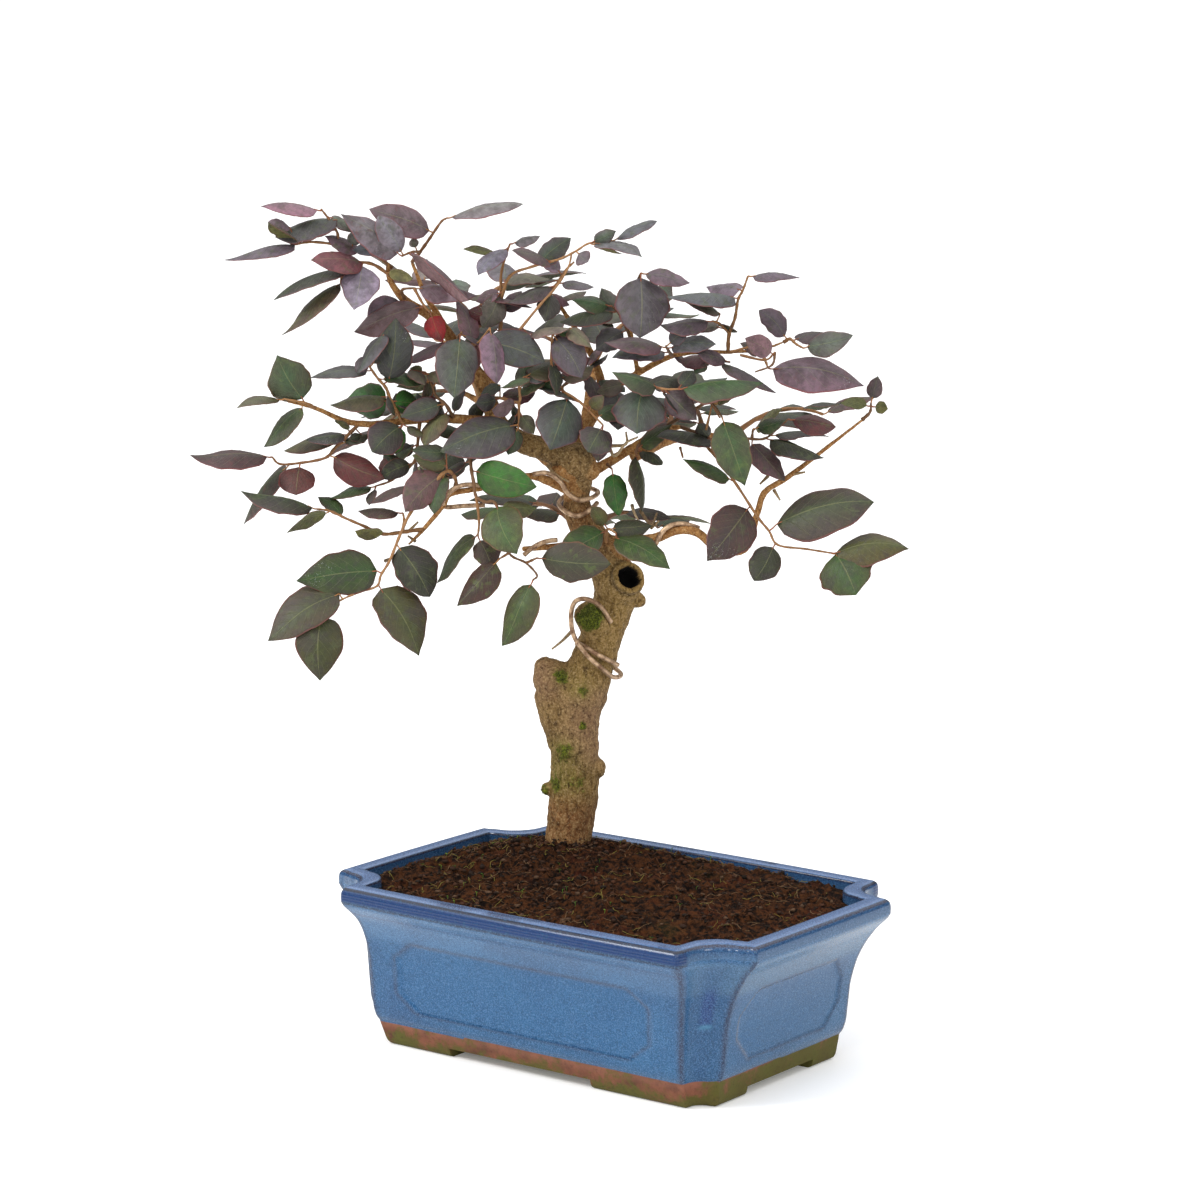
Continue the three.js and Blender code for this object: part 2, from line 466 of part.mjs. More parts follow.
// The leafy sprays that the viewer sees. A spray has twigs through sighted points, and leaves as
// [base x, base y, tip x, tip y, nearer at the tip, seen width, kind]. A leaf whose kind ends in
// "under" shows its underside.
const sprays = {
  "spray_tip_left": {
    "twigs": [
      [[392, 268, 3], [375, 255, 6], [342, 245, 10], [337, 232, 11], [328, 218, 12], [321, 209, 13]],
      [[342, 245, 10], [313, 242, 14], [297, 244, 16]],
    ],
    "leaves": [
      [320, 211, 261, 206, 18, 9, "mauve"], [337, 229, 276, 236, 6, 14, "slate"],
      [300, 243, 225, 260, 30, 9, "plum"], [298, 240, 268, 222, 30, 10, "olive under"],
      [329, 215, 360, 228, 4, 11, "slate"],
    ],
  },
  "spray_low_tip": {
    "twigs": [
      [[391, 276, 4], [372, 264, 10], [354, 264, 14], [341, 278, 18]],
    ],
    "leaves": [
      [367, 259, 311, 260, 30, 20, "maroon"], [350, 266, 274, 300, 30, 11, "slate"],
      [340, 284, 282, 335, 30, 20, "olive"], [364, 263, 354, 310, 36, 38, "mauve"],
    ],
  },
  "spray_crest": {
    "twigs": [
      [[412, 262, -14], [420, 252, -8], [430, 238, -4], [441, 222, 0], [447, 218, 1]],
      [[420, 252, -8], [412, 252, 4], [402, 256, 10]],
    ],
    "leaves": [
      [433, 232, 369, 209, 6, 30, "plum"], [447, 218, 523, 204, 6, 8, "slate"],
      [402, 256, 341, 214, 22, 30, "slate"], [409, 255, 470, 300, 34, 11, "mauve under"],
    ],
  },
  "spray_inner_left": {
    "twigs": [
      [[405, 300, 2], [402, 290, 10], [414, 288, 12]],
      [[414, 288, 12], [423, 304, 13], [430, 312, 14]],
    ],
    "leaves": [
      [416, 287, 478, 296, 4, 18, "maroon"], [424, 307, 354, 332, 14, 30, "maroon"],
      [430, 312, 443, 343, 14, 22, "red"],
    ],
  },
  "spray_shoulder": {
    "twigs": [
      [[401, 419, 12], [391, 401, 16], [386, 388, 18], [376, 376, 20], [365, 358, 22], [369, 350, 23]],
      [[395, 409, 14.4], [403, 424, 20]],
    ],
    "leaves": [
      [389, 380, 396, 318, 26, 37, "dark"], [371, 373, 310, 378, 30, 13, "dark"],
      [367, 352, 357, 376, 28, 14, "slate"], [387, 397, 330, 405, 30, 17, "olive"],
      [390, 401, 345, 400, 8, 36, "bright"], [393, 400, 418, 402, 6, 24, "bright"],
      [402, 425, 372, 452, 38, 36, "slate"], [402, 427, 388, 456, 20, 20, "bright"],
    ],
  },
  "spray_left_mid": {
    "twigs": [
      [[454, 419, 8], [446, 405, 17], [436, 396, 16], [432, 385, 14], [425, 372, 12]],
    ],
    "leaves": [
      [444, 403, 400, 417, 24, 24, "slate"], [430, 380, 396, 387, 2, 16, "olive under"],
      [426, 374, 410, 368, 8, 12, "olive under"], [432, 388, 445, 370, 14, 14, "olive"],
      [447, 409, 424, 446, 30, 20, "olive"],
    ],
  },
  "spray_gloss": {
    "twigs": [
      [[460, 350, -2], [458, 338, 12], [462, 332, 20]],
      [[458, 342, 7], [476, 344, 14], [490, 328, 22]],
    ],
    "leaves": [
      [461, 334, 454, 398, 30, 44, "slate"], [490, 328, 497, 384, 36, 24, "mauve"],
      [484, 341, 545, 362, 24, 38, "dark"], [458, 342, 404, 363, 10, 12, "plum"],
      [472, 342, 456, 300, 0, 20, "plum"],
    ],
  },
  "spray_middle": {
    "twigs": [
      [[488, 400, 0], [500, 398, 8], [519, 402, 14], [519, 386, 16], [524, 377, 17]],
      [[519, 402, 14], [519, 420, 16], [518, 430, 17]],
    ],
    "leaves": [
      [500, 396, 476, 403, 18, 18, "slate"], [522, 378, 547, 379, 14, 9, "slate"],
      [516, 404, 492, 410, 30, 16, "mauve under"], [518, 424, 440, 452, 36, 40, "slate"],
      [519, 426, 508, 455, 22, 20, "green"], [520, 412, 534, 434, 20, 16, "olive"],
    ],
  },
  "spray_centre": {
    "twigs": [
      [[594, 365, -18], [575, 378, -4], [562, 389, 10], [580, 402, 18], [603, 425, 22]],
      [[562, 389, 10], [552, 370, 14], [552, 340, 18], [553, 334, 19]],
    ],
    "leaves": [
      [553, 332, 582, 378, 26, 34, "plum"], [550, 362, 556, 396, 22, 14, "dark"],
      [568, 398, 550, 450, 36, 48, "slate"], [603, 422, 588, 452, 30, 36, "slate"],
      [604, 426, 598, 462, 18, 24, "plum"], [590, 410, 604, 396, 30, 15, "olive"],
    ],
  },
  "spray_blue": {
    "twigs": [
      [[602, 394, -20], [622, 384, 0], [640, 384, 16], [664, 389, 22], [678, 389, 24]],
    ],
    "leaves": [
      [645, 386, 637, 434, 40, 54, "slate"], [660, 388, 612, 372, 34, 20, "green"],
      [664, 389, 697, 420, 20, 28, "plum"], [650, 386, 686, 380, 6, 16, "dark"],
      [681, 389, 763, 383, 26, 22, "green"], [616, 388, 618, 430, 20, 30, "slate"],
    ],
  },
  "spray_top": {
    "twigs": [
      [[486, 372, -2], [500, 330, -4], [501, 300, -2], [501, 276, 0], [505, 258, 2], [510, 244, 3]],
      [[501, 300, -2], [510, 276, 6], [531, 267, 8], [560, 259, 10], [576, 251, 12], [590, 243, 13],
        [612, 241, 14]],
    ],
    "leaves": [
      [534, 264, 571, 238, 4, 22, "slate"], [573, 248, 588, 262, 20, 18, "plum"],
      [590, 242, 616, 231, 20, 15, "slate"], [594, 244, 642, 257, 34, 12, "slate"],
      [615, 240, 657, 221, 16, 9, "slate"], [549, 262, 512, 250, 32, 12, "plum"],
      [510, 247, 478, 275, 18, 18, "plum"], [509, 243, 540, 236, 6, 9, "olive"],
      [504, 257, 463, 249, -10, 10, "olive under"], [501, 290, 482, 328, 4, 26, "olive"],
      [501, 283, 550, 279, -10, 12, "olive"],
    ],
  },
  "spray_top_c": {
    "twigs": [
      [[556, 302, -10], [545, 298, -4], [556, 285, 0], [566, 270, 2], [574, 262, 3]],
    ],
    "leaves": [
      [556, 287, 508, 303, 8, 16, "slate"], [560, 283, 594, 287, 8, 11, "dark"],
      [552, 291, 545, 322, 8, 24, "dark"], [563, 276, 536, 254, -6, 14, "plum"],
    ],
  },
  "spray_round": {
    "twigs": [
      [[630, 306, -3], [634, 288, 2], [641, 273, 8]],
    ],
    "leaves": [
      [641, 273, 640, 338, 18, 54, "plum"], [642, 272, 690, 283, 14, 15, "plum"],
    ],
  },
  "spray_fork": {
    "twigs": [
      [[632, 342, -10], [622, 318, -6], [612, 306, -4]],
    ],
    "leaves": [
      [613, 305, 572, 300, 4, 18, "green"], [617, 312, 560, 322, 8, 15, "dark"],
      [626, 328, 596, 350, -2, 24, "slate"],
    ],
  },
  "spray_right_twig": {
    "twigs": [
      [[728, 352, -6], [729, 335, -2], [735, 318, 0], [738, 300, 2], [743, 290, 4], [748, 276, 5]],
      [[729, 333, -2], [720, 324, 2], [713, 321, 4]],
    ],
    "leaves": [
      [748, 275, 800, 278, 10, 10, "plum"], [742, 290, 706, 287, -16, 17, "mauve"],
      [738, 297, 667, 297, 24, 14, "slate"], [720, 314, 679, 296, 6, 10, "olive"],
      [712, 321, 660, 325, 10, 18, "plum"],
    ],
  },
  "spray_shelf": {
    "twigs": [
      [[672, 356, -13], [668, 350, 0], [666, 346, 8]],
    ],
    "leaves": [
      [667, 348, 716, 344, 16, 18, "slate"], [665, 348, 604, 342, 16, 20, "plum"],
      [668, 352, 612, 358, 8, 17, "slate"], [666, 345, 688, 330, 8, 16, "slate"],
    ],
  },
  "spray_shelf_under": {
    "twigs": [
      [[702, 352, -9], [712, 360, 0], [730, 362, 6]],
    ],
    "leaves": [
      [730, 363, 697, 352, 14, 14, "plum"], [709, 358, 694, 374, -2, 14, "green"],
      [718, 362, 776, 393, 14, 11, "plum"],
    ],
  },
  "spray_high_right": {
    "twigs": [
      [[784, 342, -2], [790, 339, 0], [796, 344, 2], [803, 348, 4]],
    ],
    "leaves": [
      [788, 339, 759, 310, 6, 22, "plum"], [792, 340, 836, 333, -12, 11, "plum"],
      [803, 349, 853, 335, 18, 25, "green"],
    ],
  },
  "spray_side_right": {
    "twigs": [
      [[760, 350, -4], [765, 360, 4], [768, 368, 8]],
    ],
    "leaves": [
      [769, 370, 864, 386, 16, 36, "plum"], [763, 354, 740, 343, 8, 12, "olive"],
    ],
  },
  "spray_far_right": {
    "twigs": [
      [[862, 420, -5], [870, 412, -6], [871, 403, -6]],
    ],
    "leaves": [
      [869, 402, 878, 376, -4, 16, "plum"], [868, 406, 840, 403, 0, 11, "olive under"],
      [872, 406, 888, 409, -2, 13, "olive under"],
    ],
  },
  "spray_right_inner": {
    "twigs": [
      [[681, 427, -8], [700, 434, 0], [714, 440, 2], [740, 438, 4], [763, 439, 5], [776, 430, 6],
        [788, 419, 8]],
      [[752, 438, 4], [753, 429, 5]],
      [[690, 431, -4], [710, 450, 6], [734, 481, 12], [757, 516, 18], [769, 531, 22], [778, 545, 26],
        [806, 549, 30], [831, 553, 34]],
    ],
    "leaves": [
      [777, 524, 874, 502, 34, 42, "slate"], [832, 551, 909, 549, 42, 31, "olive"],
      [836, 554, 856, 595, 50, 56, "green"], [774, 548, 754, 581, 34, 32, "dark"],
      [751, 506, 707, 561, 38, 48, "plum"], [733, 480, 683, 459, 16, 15, "green"],
      [788, 419, 836, 427, 14, 20, "maroon"], [754, 429, 786, 420, 12, 16, "green"],
      [750, 430, 782, 409, -12, 12, "olive under"], [767, 439, 824, 458, 18, 18, "dark"],
      [772, 436, 829, 437, 0, 8, "slate"], [752, 444, 785, 481, 16, 25, "plum"],
      [715, 441, 655, 437, 26, 18, "dark"],
    ],
  },
  "spray_green_hang": {
    "twigs": [
      [[662, 429, -8], [690, 412, 4], [710, 403, 14], [722, 417, 22]],
    ],
    "leaves": [
      [723, 419, 745, 486, 30, 38, "green"], [712, 404, 733, 398, 18, 8, "olive"],
    ],
  },
  "spray_low_centre": {
    "twigs": [
      [[640, 443, -6], [636, 452, 4], [638, 456, 6]],
    ],
    "leaves": [
      [637, 452, 642, 512, 12, 13, "dark"], [638, 450, 662, 465, 14, 13, "dark"],
      [637, 450, 672, 424, 2, 18, "green"],
    ],
  },
  "spray_bright": {
    "twigs": [
      [[606, 463, -2], [612, 469, 6]],
    ],
    "leaves": [
      [612, 469, 619, 516, 14, 24, "bright"],
    ],
  },
  "spray_front_low": {
    "twigs": [
      [[606, 548, 4], [606, 536, 14], [608, 529, 20], [616, 533, 24]],
    ],
    "leaves": [
      [607, 528, 652, 526, 18, 20, "dark"], [616, 538, 670, 569, 40, 25, "green"],
      [604, 530, 560, 554, 34, 32, "green"], [606, 526, 592, 507, 22, 16, "olive"],
    ],
  },
  "spray_left_hang": {
    "twigs": [
      [[471, 420, 6], [470, 445, 16], [471, 467, 27], [474, 484, 33], [476, 496, 34], [485, 502, 36],
        [495, 503, 37], [503, 525, 38], [509, 553, 41], [526, 563, 44], [537, 575, 46], [533, 580, 47]],
      [[476, 496, 34], [479, 520, 35], [478, 536, 36]],
      [[509, 553, 41], [499, 559, 42]],
      [[526, 563, 44], [537, 558, 46]],
    ],
    "leaves": [
      [492, 506, 517, 554, 56, 44, "green"], [499, 510, 537, 508, 30, 17, "olive"],
      [477, 536, 492, 570, 40, 28, "plum"], [477, 534, 437, 583, 26, 16, "green"],
      [498, 560, 457, 606, 48, 30, "plum"], [533, 581, 502, 646, 52, 30, "green"],
      [538, 558, 611, 564, 54, 40, "slate"], [473, 470, 537, 487, 34, 36, "bright"],
    ],
  },
  "spray_low_left": {
    "twigs": [
      [[452, 494, 24], [456, 481, 23], [447, 471, 29], [430, 488, 37], [411, 512, 42], [400, 535, 45],
        [390, 560, 47], [381, 575, 48], [377, 586, 49], [360, 592, 51], [343, 599, 53], [321, 611, 56]],
    ],
    "leaves": [
      [445, 470, 405, 512, 48, 36, "mauve"], [447, 474, 434, 514, 44, 20, "green"],
      [377, 571, 296, 581, 53, 45, "green"], [339, 594, 268, 641, 60, 42, "slate"],
      [323, 613, 320, 681, 66, 48, "olive"], [381, 588, 419, 656, 56, 46, "olive"],
      [398, 546, 430, 597, 52, 42, "dark"], [446, 466, 412, 455, 30, 20, "olive"],
    ],
  },
  "spray_left_maroon": {
    "twigs": [
      [[359, 424, 16], [347, 436, 20], [335, 448, 24], [325, 458, 28], [300, 463, 32], [280, 464, 35],
        [272, 457, 37]],
    ],
    "leaves": [
      [270, 456, 190, 455, 46, 18, "plum"], [331, 456, 385, 479, 34, 30, "maroon"],
      [301, 459, 296, 495, 46, 37, "maroon"], [345, 436, 284, 451, 12, 14, "olive"],
      [288, 466, 244, 524, 18, 13, "slate"],
    ],
  },
  "spray_left_end": {
    "twigs": [
      [[315, 408, 18], [305, 403, 25], [284, 399, 28]],
    ],
    "leaves": [
      [306, 402, 277, 355, 28, 44, "green"], [285, 401, 237, 408, 38, 10, "olive"],
      [302, 408, 264, 447, 30, 18, "green"],
    ],
  },
  "spray_left_wired": {
    "twigs": [
      [[424, 529, 28], [403, 532, 32], [383, 534, 35], [366, 527, 38], [345, 518, 41], [330, 511, 43],
        [317, 509, 45]],
      [[403, 532, 32], [404, 520, 34], [403, 513, 35]],
    ],
    "leaves": [
      [315, 506, 241, 491, 56, 14, "slate"], [331, 510, 287, 533, 56, 13, "olive under"],
      [345, 517, 318, 497, 32, 13, "green"], [403, 513, 358, 511, 42, 10, "plum"],
      [386, 532, 355, 531, 46, 11, "olive under"],
    ],
  },
  "spray_left_under": {
    "twigs": [
      [[420, 419, 11], [418, 440, 16], [414, 462, 20], [392, 480, 24], [376, 486, 27]],
    ],
    "leaves": [
      [414, 464, 380, 478, 28, 20, "dark"], [377, 486, 330, 498, 34, 12, "green"],
      [416, 452, 392, 450, 8, 14, "dark"], [402, 474, 384, 452, 16, 16, "dark"],
    ],
  },
};

// The sprays behind, which the viewer hardly sees. Each grows from a hidden point along a heading
// in [across, nearer, height], and its leaves are set by rule from a seed.
const backSprays = {
  "back_a": [[-30, -36, 306], [-46, -4, -28], 3],
  "back_b": [[-46, -58, 318], [-26, -42, 30], 7],
  "back_c": [[-56, -80, 321], [-44, -20, -20], 11],
  "back_d": [[-44, -36, 358], [-40, -22, 26], 19],
  "back_e": [[-49, -52, 367], [26, -34, 12], 23],
  "back_f": [[12, -48, 330], [-34, -34, 22], 29],
  "back_g": [[14, -61, 341], [26, -26, 20], 31],
  "back_h": [[52, -26, 303], [10, -50, 20], 37],
  "back_i": [[72, -46, 302], [-6, -50, 6], 41],
  "back_j": [[86, -58, 300], [50, -8, 12], 43],
  "back_k": [[14, -30, 256], [34, -40, -6], 47],
  "back_l": [[5, -56, 252], [-36, -34, 4], 53],
};
const backLeafCount = 5;

// A seeded row of numbers from 0 to 1, the same on every run
function randomFrom(seed) {
  let state = seed;
  return () => {
    state = (state + 0x6d2b79f5) >>> 0;
    let mixed = Math.imul(state ^ (state >>> 15), 1 | state);
    mixed = (mixed + Math.imul(mixed ^ (mixed >>> 7), 61 | mixed)) ^ mixed;
    return ((mixed ^ (mixed >>> 14)) >>> 0) / 4294967296;
  };
}

// Triangles between two rows of points that may differ in number
function stitch(rowA, rowB, push) {
  let a = 0;
  let b = 0;
  while (a + 1 < rowA.length || b + 1 < rowB.length) {
    const stepA = b + 1 >= rowB.length
      || (a + 1 < rowA.length && (a + 1) / (rowA.length - 1) <= (b + 1) / (rowB.length - 1));
    if (stepA) {
      push(rowA[a], rowA[a + 1], rowB[b]);
      a += 1;
    } else {
      push(rowA[a], rowB[b + 1], rowB[b]);
      b += 1;
    }
  }
}

// One leaf as a thin closed blade: its stalk from the twig, its widening body arched along the
// midrib with its two halves dropping from it, and its point.
function blade({ anchor, base, tip, normal, width }, grow = 0) {
  const along = tip.clone().sub(base);
  const length = along.length();
  along.normalize();
  const up = normal.clone().addScaledVector(along, -normal.dot(along)).normalize();
  const across = new THREE.Vector3().crossVectors(up, along);
  const place = (t, side, halfWidth) => base.clone()
    .addScaledVector(along, t * (length + grow))
    .addScaledVector(across, side * (halfWidth + grow))
    .addScaledVector(up, 0.36 * length * t * (1 - t) - 0.22 * Math.abs(side) * halfWidth);
  const rows = [
    [-1, 1].map((side) => anchor.clone().addScaledVector(across, side * (petioleHalfWidth + grow))),
    [-1, 1].map((side) => place(0, side, petioleHalfWidth)),
  ];
  const sides = width > smallLeafWidth ? [-1, 0, 1] : [-1, 1];
  const stations = length < tinyLeafLength ? [[0.45, 1]] : [[0.28, 0.96], [0.68, 0.82]];
  for (const [t, share] of stations) {
    rows.push(sides.map((side) => place(t, side, (share * width) / 2)));
  }
  rows.push([place(1, 0, 0)]);
  const points = [];
  const numbered = rows.map((row) => row.map((point) => points.push(point) - 1));
  const count = points.length;
  const lift = bladeThickness / 2 + grow;
  const index = [];
  for (let r = 0; r + 1 < numbered.length; r++) {
    stitch(numbered[r], numbered[r + 1], (a, b, c) => {
      index.push(a, c, b, a + count, b + count, c + count);
    });
  }
  const left = numbered.map((row) => row[0]);
  const right = numbered.map((row) => row[row.length - 1]);
  const rim = [...left, ...right.slice(0, -1).reverse()];
  for (let i = 0; i < rim.length; i++) {
    const a = rim[i];
    const b = rim[(i + 1) % rim.length];
    index.push(a, a + count, b + count, a, b + count, b);
  }
  const upper = points.map((point) => point.clone().addScaledVector(up, lift));
  const lower = points.map((point) => point.clone().addScaledVector(up, -lift));
  return solid(new THREE.BufferGeometry().setFromPoints([...upper, ...lower]).setIndex(index));
}

// The nearest sighted point on any of a spray's twigs
function nearestOnTwigs(twigs, x, y) {
  let best = null;
  let bestDistance = Infinity;
  for (const twig of twigs) {
    for (let i = 0; i + 1 < twig.length; i++) {
      const [fromX, fromY, fromNear] = twig[i];
      const [toX, toY, toNear] = twig[i + 1];
      const runX = toX - fromX;
      const runY = toY - fromY;
      const share = THREE.MathUtils.clamp(
        ((x - fromX) * runX + (y - fromY) * runY) / (runX * runX + runY * runY), 0, 1);
      const point = [fromX + runX * share, fromY + runY * share, fromNear + (toNear - fromNear) * share];
      const distance = Math.hypot(point[0] - x, point[1] - y);
      if (distance < bestDistance) {
        bestDistance = distance;
        best = point;
      }
    }
  }
  return best;
}

// A sighted leaf turned about its midrib until it looks as wide as it was seen
function sightedLeaf(twigs, [baseX, baseY, tipX, tipY, nearer, seenWidth, kind]) {
  const onTwig = nearestOnTwigs(twigs, baseX, baseY);
  const anchor = sighted(onTwig);
  const tip = sighted([tipX, tipY, nearer]);
  let base = sighted([baseX, baseY, onTwig[2]]);
  if (anchor.distanceTo(base) < stalkLength) {
    base = anchor.clone().addScaledVector(tip.clone().sub(anchor).normalize(), stalkLength);
  }
  const along = tip.clone().sub(base);
  const length = along.length();
  along.normalize();
  const toViewer = eye.clone().sub(base).normalize();
  const seen = (seenWidth / focalSteps) * eye.distanceTo(base);
  const width = Math.max(seen, leafRatio * length);
  const turn = Math.acos(Math.min(1, seen / width));
  const facing = toViewer.addScaledVector(along, -toViewer.dot(along)).normalize();
  const aside = new THREE.Vector3().crossVectors(along, facing);
  if (aside.z < 0) {
    aside.negate();
  }
  const side = kind.endsWith("under") ? -1 : 1;
  const normal = facing.multiplyScalar(side * Math.cos(turn)).addScaledVector(aside, Math.sin(turn));
  return { anchor, base, tip, normal, width };
}

function buildSpray({ twigs, leaves }, grow = 0) {
  const parts = twigs.map((twig, order) => {
    const first = order === 0 ? 1.5 : 1.3;
    const radii = twig.map((point, i) => THREE.MathUtils.lerp(first, 1, i / (twig.length - 1)));
    return limb(twig.map(sighted), radii, twigSides, grow);
  });
  for (const leaf of leaves) {
    parts.push(blade(sightedLeaf(twigs, leaf), grow));
  }
  return joined(parts);
}

// A hidden spray: leaves alternate along an upward-bending twig and hang a little at their tips
function buildBackSpray([start, heading, seed], grow = 0) {
  const random = randomFrom(seed);
  const from = hidden(start);
  const run = hidden(start.map((value, i) => value + heading[i])).sub(from);
  const bend = new THREE.Vector3(0, 0, run.length() * 0.16);
  const twigAt = (t) => from.clone().addScaledVector(run, t).addScaledVector(bend, 4 * t * (1 - t));
  const parts = [limb([0, 0.35, 0.7, 1].map(twigAt), [1.6, 1.4, 1.2, 1.1], twigSides, grow)];
  const onward = run.clone().normalize();
  const sideways = new THREE.Vector3(-onward.y, onward.x, 0).normalize();
  for (let i = 0; i < backLeafCount; i++) {
    const t = (i + 1) / backLeafCount;
    const hand = i % 2 === 0 ? 1 : -1;
    const spread = i === backLeafCount - 1 ? 0.1 : 0.9 + 0.4 * random();
    const anchor = twigAt(t);
    const direction = onward.clone().multiplyScalar(0.75)
      .addScaledVector(sideways, hand * spread)
      .add(new THREE.Vector3(0, 0, 0.5 * random() - 0.2))
      .normalize();
    const length = 24 + 12 * random();
    const base = anchor.clone().addScaledVector(direction, 3);
    const tip = base.clone().addScaledVector(direction, length).add(new THREE.Vector3(0, 0, -0.12 * length));
    const normal = new THREE.Vector3(0.7 * random() - 0.35, 0.7 * random() - 0.35, 1);
    const width = length * (0.5 + 0.12 * random());
    parts.push(blade({ anchor, base, tip, normal, width }, grow));
  }
  return joined(parts);
}

const glaze = new THREE.MeshStandardMaterial({ color: 0x5f87af, roughness: 0.25, metalness: 0 });
const mesh = new THREE.MeshStandardMaterial({ color: 0x2f3330, roughness: 0.6, metalness: 0 });
const peat = new THREE.MeshStandardMaterial({ color: 0x322016, roughness: 1, metalness: 0 });
const bark = new THREE.MeshStandardMaterial({ color: 0x82704b, roughness: 0.9, metalness: 0 });
const copper = new THREE.MeshStandardMaterial({ color: 0xb98a63, roughness: 0.4, metalness: 0.8 });

function leafMaterial(leaves) {
  const colour = new THREE.Color(0, 0, 0);
  for (const leaf of leaves) {
    const kind = new THREE.Color(leafColours[leaf[6].split(" ")[0]]);
    colour.add(kind.multiplyScalar(1 / leaves.length));
  }
  return new THREE.MeshStandardMaterial({ color: colour, roughness: 0.5, metalness: 0 });
}

const bonsai = new THREE.Group();

function addPiece(name, whole, material) {
  const piece = new THREE.Mesh(geometryOf(whole), material);
  piece.name = name;
  bonsai.add(piece);
}

const trunkToClear = buildTrunk(seatGap);
addPiece("pot", buildPot(), glaze);
addPiece("screen_left", buildScreen(-drainSpacing / 2), mesh);
addPiece("screen_right", buildScreen(drainSpacing / 2), mesh);
addPiece("soil", buildSoil(trunkToClear), peat);
addPiece("trunk", buildTrunk(), bark);
for (const [name, points] of Object.entries(wires)) {
  addPiece(name, buildWire(points, trunkToClear), copper);
}
for (const [name, spray] of Object.entries(sprays)) {
  addPiece(name, largestBody(buildSpray(spray).subtract(trunkToClear)), leafMaterial(spray.leaves));
}
const hiddenFoliage = new THREE.MeshStandardMaterial({ color: 0x4c5040, roughness: 0.5, metalness: 0 });
for (const [name, spray] of Object.entries(backSprays)) {
  addPiece(name, largestBody(buildBackSpray(spray).subtract(trunkToClear)), hiddenFoliage);
}

const wholeBox = new THREE.Box3().setFromObject(bonsai);
for (const piece of bonsai.children) {
  piece.geometry.translate(
    -(wholeBox.min.x + wholeBox.max.x) / 2, -(wholeBox.min.y + wholeBox.max.y) / 2, 0);
}

export default bonsai;
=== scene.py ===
# A chinese fringe flower bonsai in its blue glazed pot: its looks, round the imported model. The frame
# is in metres, with +Z up.
import math
import random

import bmesh
import bpy
import numpy as np
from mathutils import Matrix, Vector, noise
from mathutils.kdtree import KDTree


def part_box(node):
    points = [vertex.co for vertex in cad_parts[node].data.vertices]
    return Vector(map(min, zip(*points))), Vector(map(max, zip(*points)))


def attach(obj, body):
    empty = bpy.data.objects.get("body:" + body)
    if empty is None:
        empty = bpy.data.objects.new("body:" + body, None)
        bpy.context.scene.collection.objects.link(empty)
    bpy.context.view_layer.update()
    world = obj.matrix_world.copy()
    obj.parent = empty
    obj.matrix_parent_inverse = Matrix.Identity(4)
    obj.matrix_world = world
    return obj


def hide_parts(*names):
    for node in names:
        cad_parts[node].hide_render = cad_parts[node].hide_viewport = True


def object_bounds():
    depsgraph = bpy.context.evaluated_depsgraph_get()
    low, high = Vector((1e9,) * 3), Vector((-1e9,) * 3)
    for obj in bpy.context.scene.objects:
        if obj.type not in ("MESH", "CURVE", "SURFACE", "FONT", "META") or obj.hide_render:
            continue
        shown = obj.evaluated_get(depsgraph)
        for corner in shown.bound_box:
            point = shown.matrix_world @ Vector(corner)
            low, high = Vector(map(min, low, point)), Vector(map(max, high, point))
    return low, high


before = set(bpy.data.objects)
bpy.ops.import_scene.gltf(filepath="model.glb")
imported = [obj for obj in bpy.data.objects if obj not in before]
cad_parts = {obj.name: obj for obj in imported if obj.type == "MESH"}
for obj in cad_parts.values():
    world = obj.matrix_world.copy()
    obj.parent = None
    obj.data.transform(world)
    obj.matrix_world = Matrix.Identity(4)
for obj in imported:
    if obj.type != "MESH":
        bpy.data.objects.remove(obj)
cad_low, cad_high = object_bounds()

# CAMERA. It stands off the pot's front right corner and a little above it, as in the photograph, and
# sees a square view 1200 steps wide. Places are in mm from the middle of the pot's base.
pot_low, pot_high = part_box("pot")
pot_middle = np.array([pot_low.x + pot_high.x, pot_low.y + pot_high.y, 0]) / 2
view_azimuth = math.radians(36.835)
view_elevation = math.radians(10)
view_steps = 1200
focal_steps = 3935.6
sensor_width = 36
eye = np.array([1170.3, -1571.5, 579.8])
trunk_foot = np.array([-57.0, 39.0, 94.0])
away = np.array([-math.sin(view_azimuth) * math.cos(view_elevation),
                 math.cos(view_azimuth) * math.cos(view_elevation), -math.sin(view_elevation)])
rightward = np.array([math.cos(view_azimuth), math.sin(view_azimuth), 0])
upward = np.cross(rightward, away)
nearward = np.array([math.sin(view_azimuth), -math.cos(view_azimuth), 0])


def to_metres(points):
    return np.asarray(points, float) * 0.001 + pot_middle


camera = bpy.data.objects.new("camera", bpy.data.cameras.new("camera"))
camera.data.sensor_width = sensor_width
camera.data.lens = focal_steps / view_steps * sensor_width
camera.data.clip_start = 0.05
camera.data.clip_end = 20
camera.location = to_metres(eye)
camera.rotation_euler = Vector(away).to_track_quat("-Z", "Y").to_euler()
bpy.context.collection.objects.link(camera)
bpy.context.scene.camera = camera

# FLOOR AND LIGHT. A white sweep under a bright overhead dome, in front of a white backdrop, with
# soft boxes from both sides and above. A small low one in front draws the highlights on the glaze.
floor_size = 14
white = (1, 1, 1, 1)
bpy.ops.object.select_all(action="DESELECT")
bpy.ops.mesh.primitive_plane_add(size=floor_size, location=(0, 0, 0))
floor = bpy.context.object
floor.name = "floor"
sweep = bpy.data.materials.new("white_sweep")
sweep.use_nodes = True
for name, value in (("Base Color", (0.9, 0.9, 0.9, 1)), ("Roughness", 0.9), ("Emission Color", white),
                    ("Emission Strength", 0.15)):
    sweep.node_tree.nodes["Principled BSDF"].inputs[name].default_value = value
floor.data.materials.append(sweep)

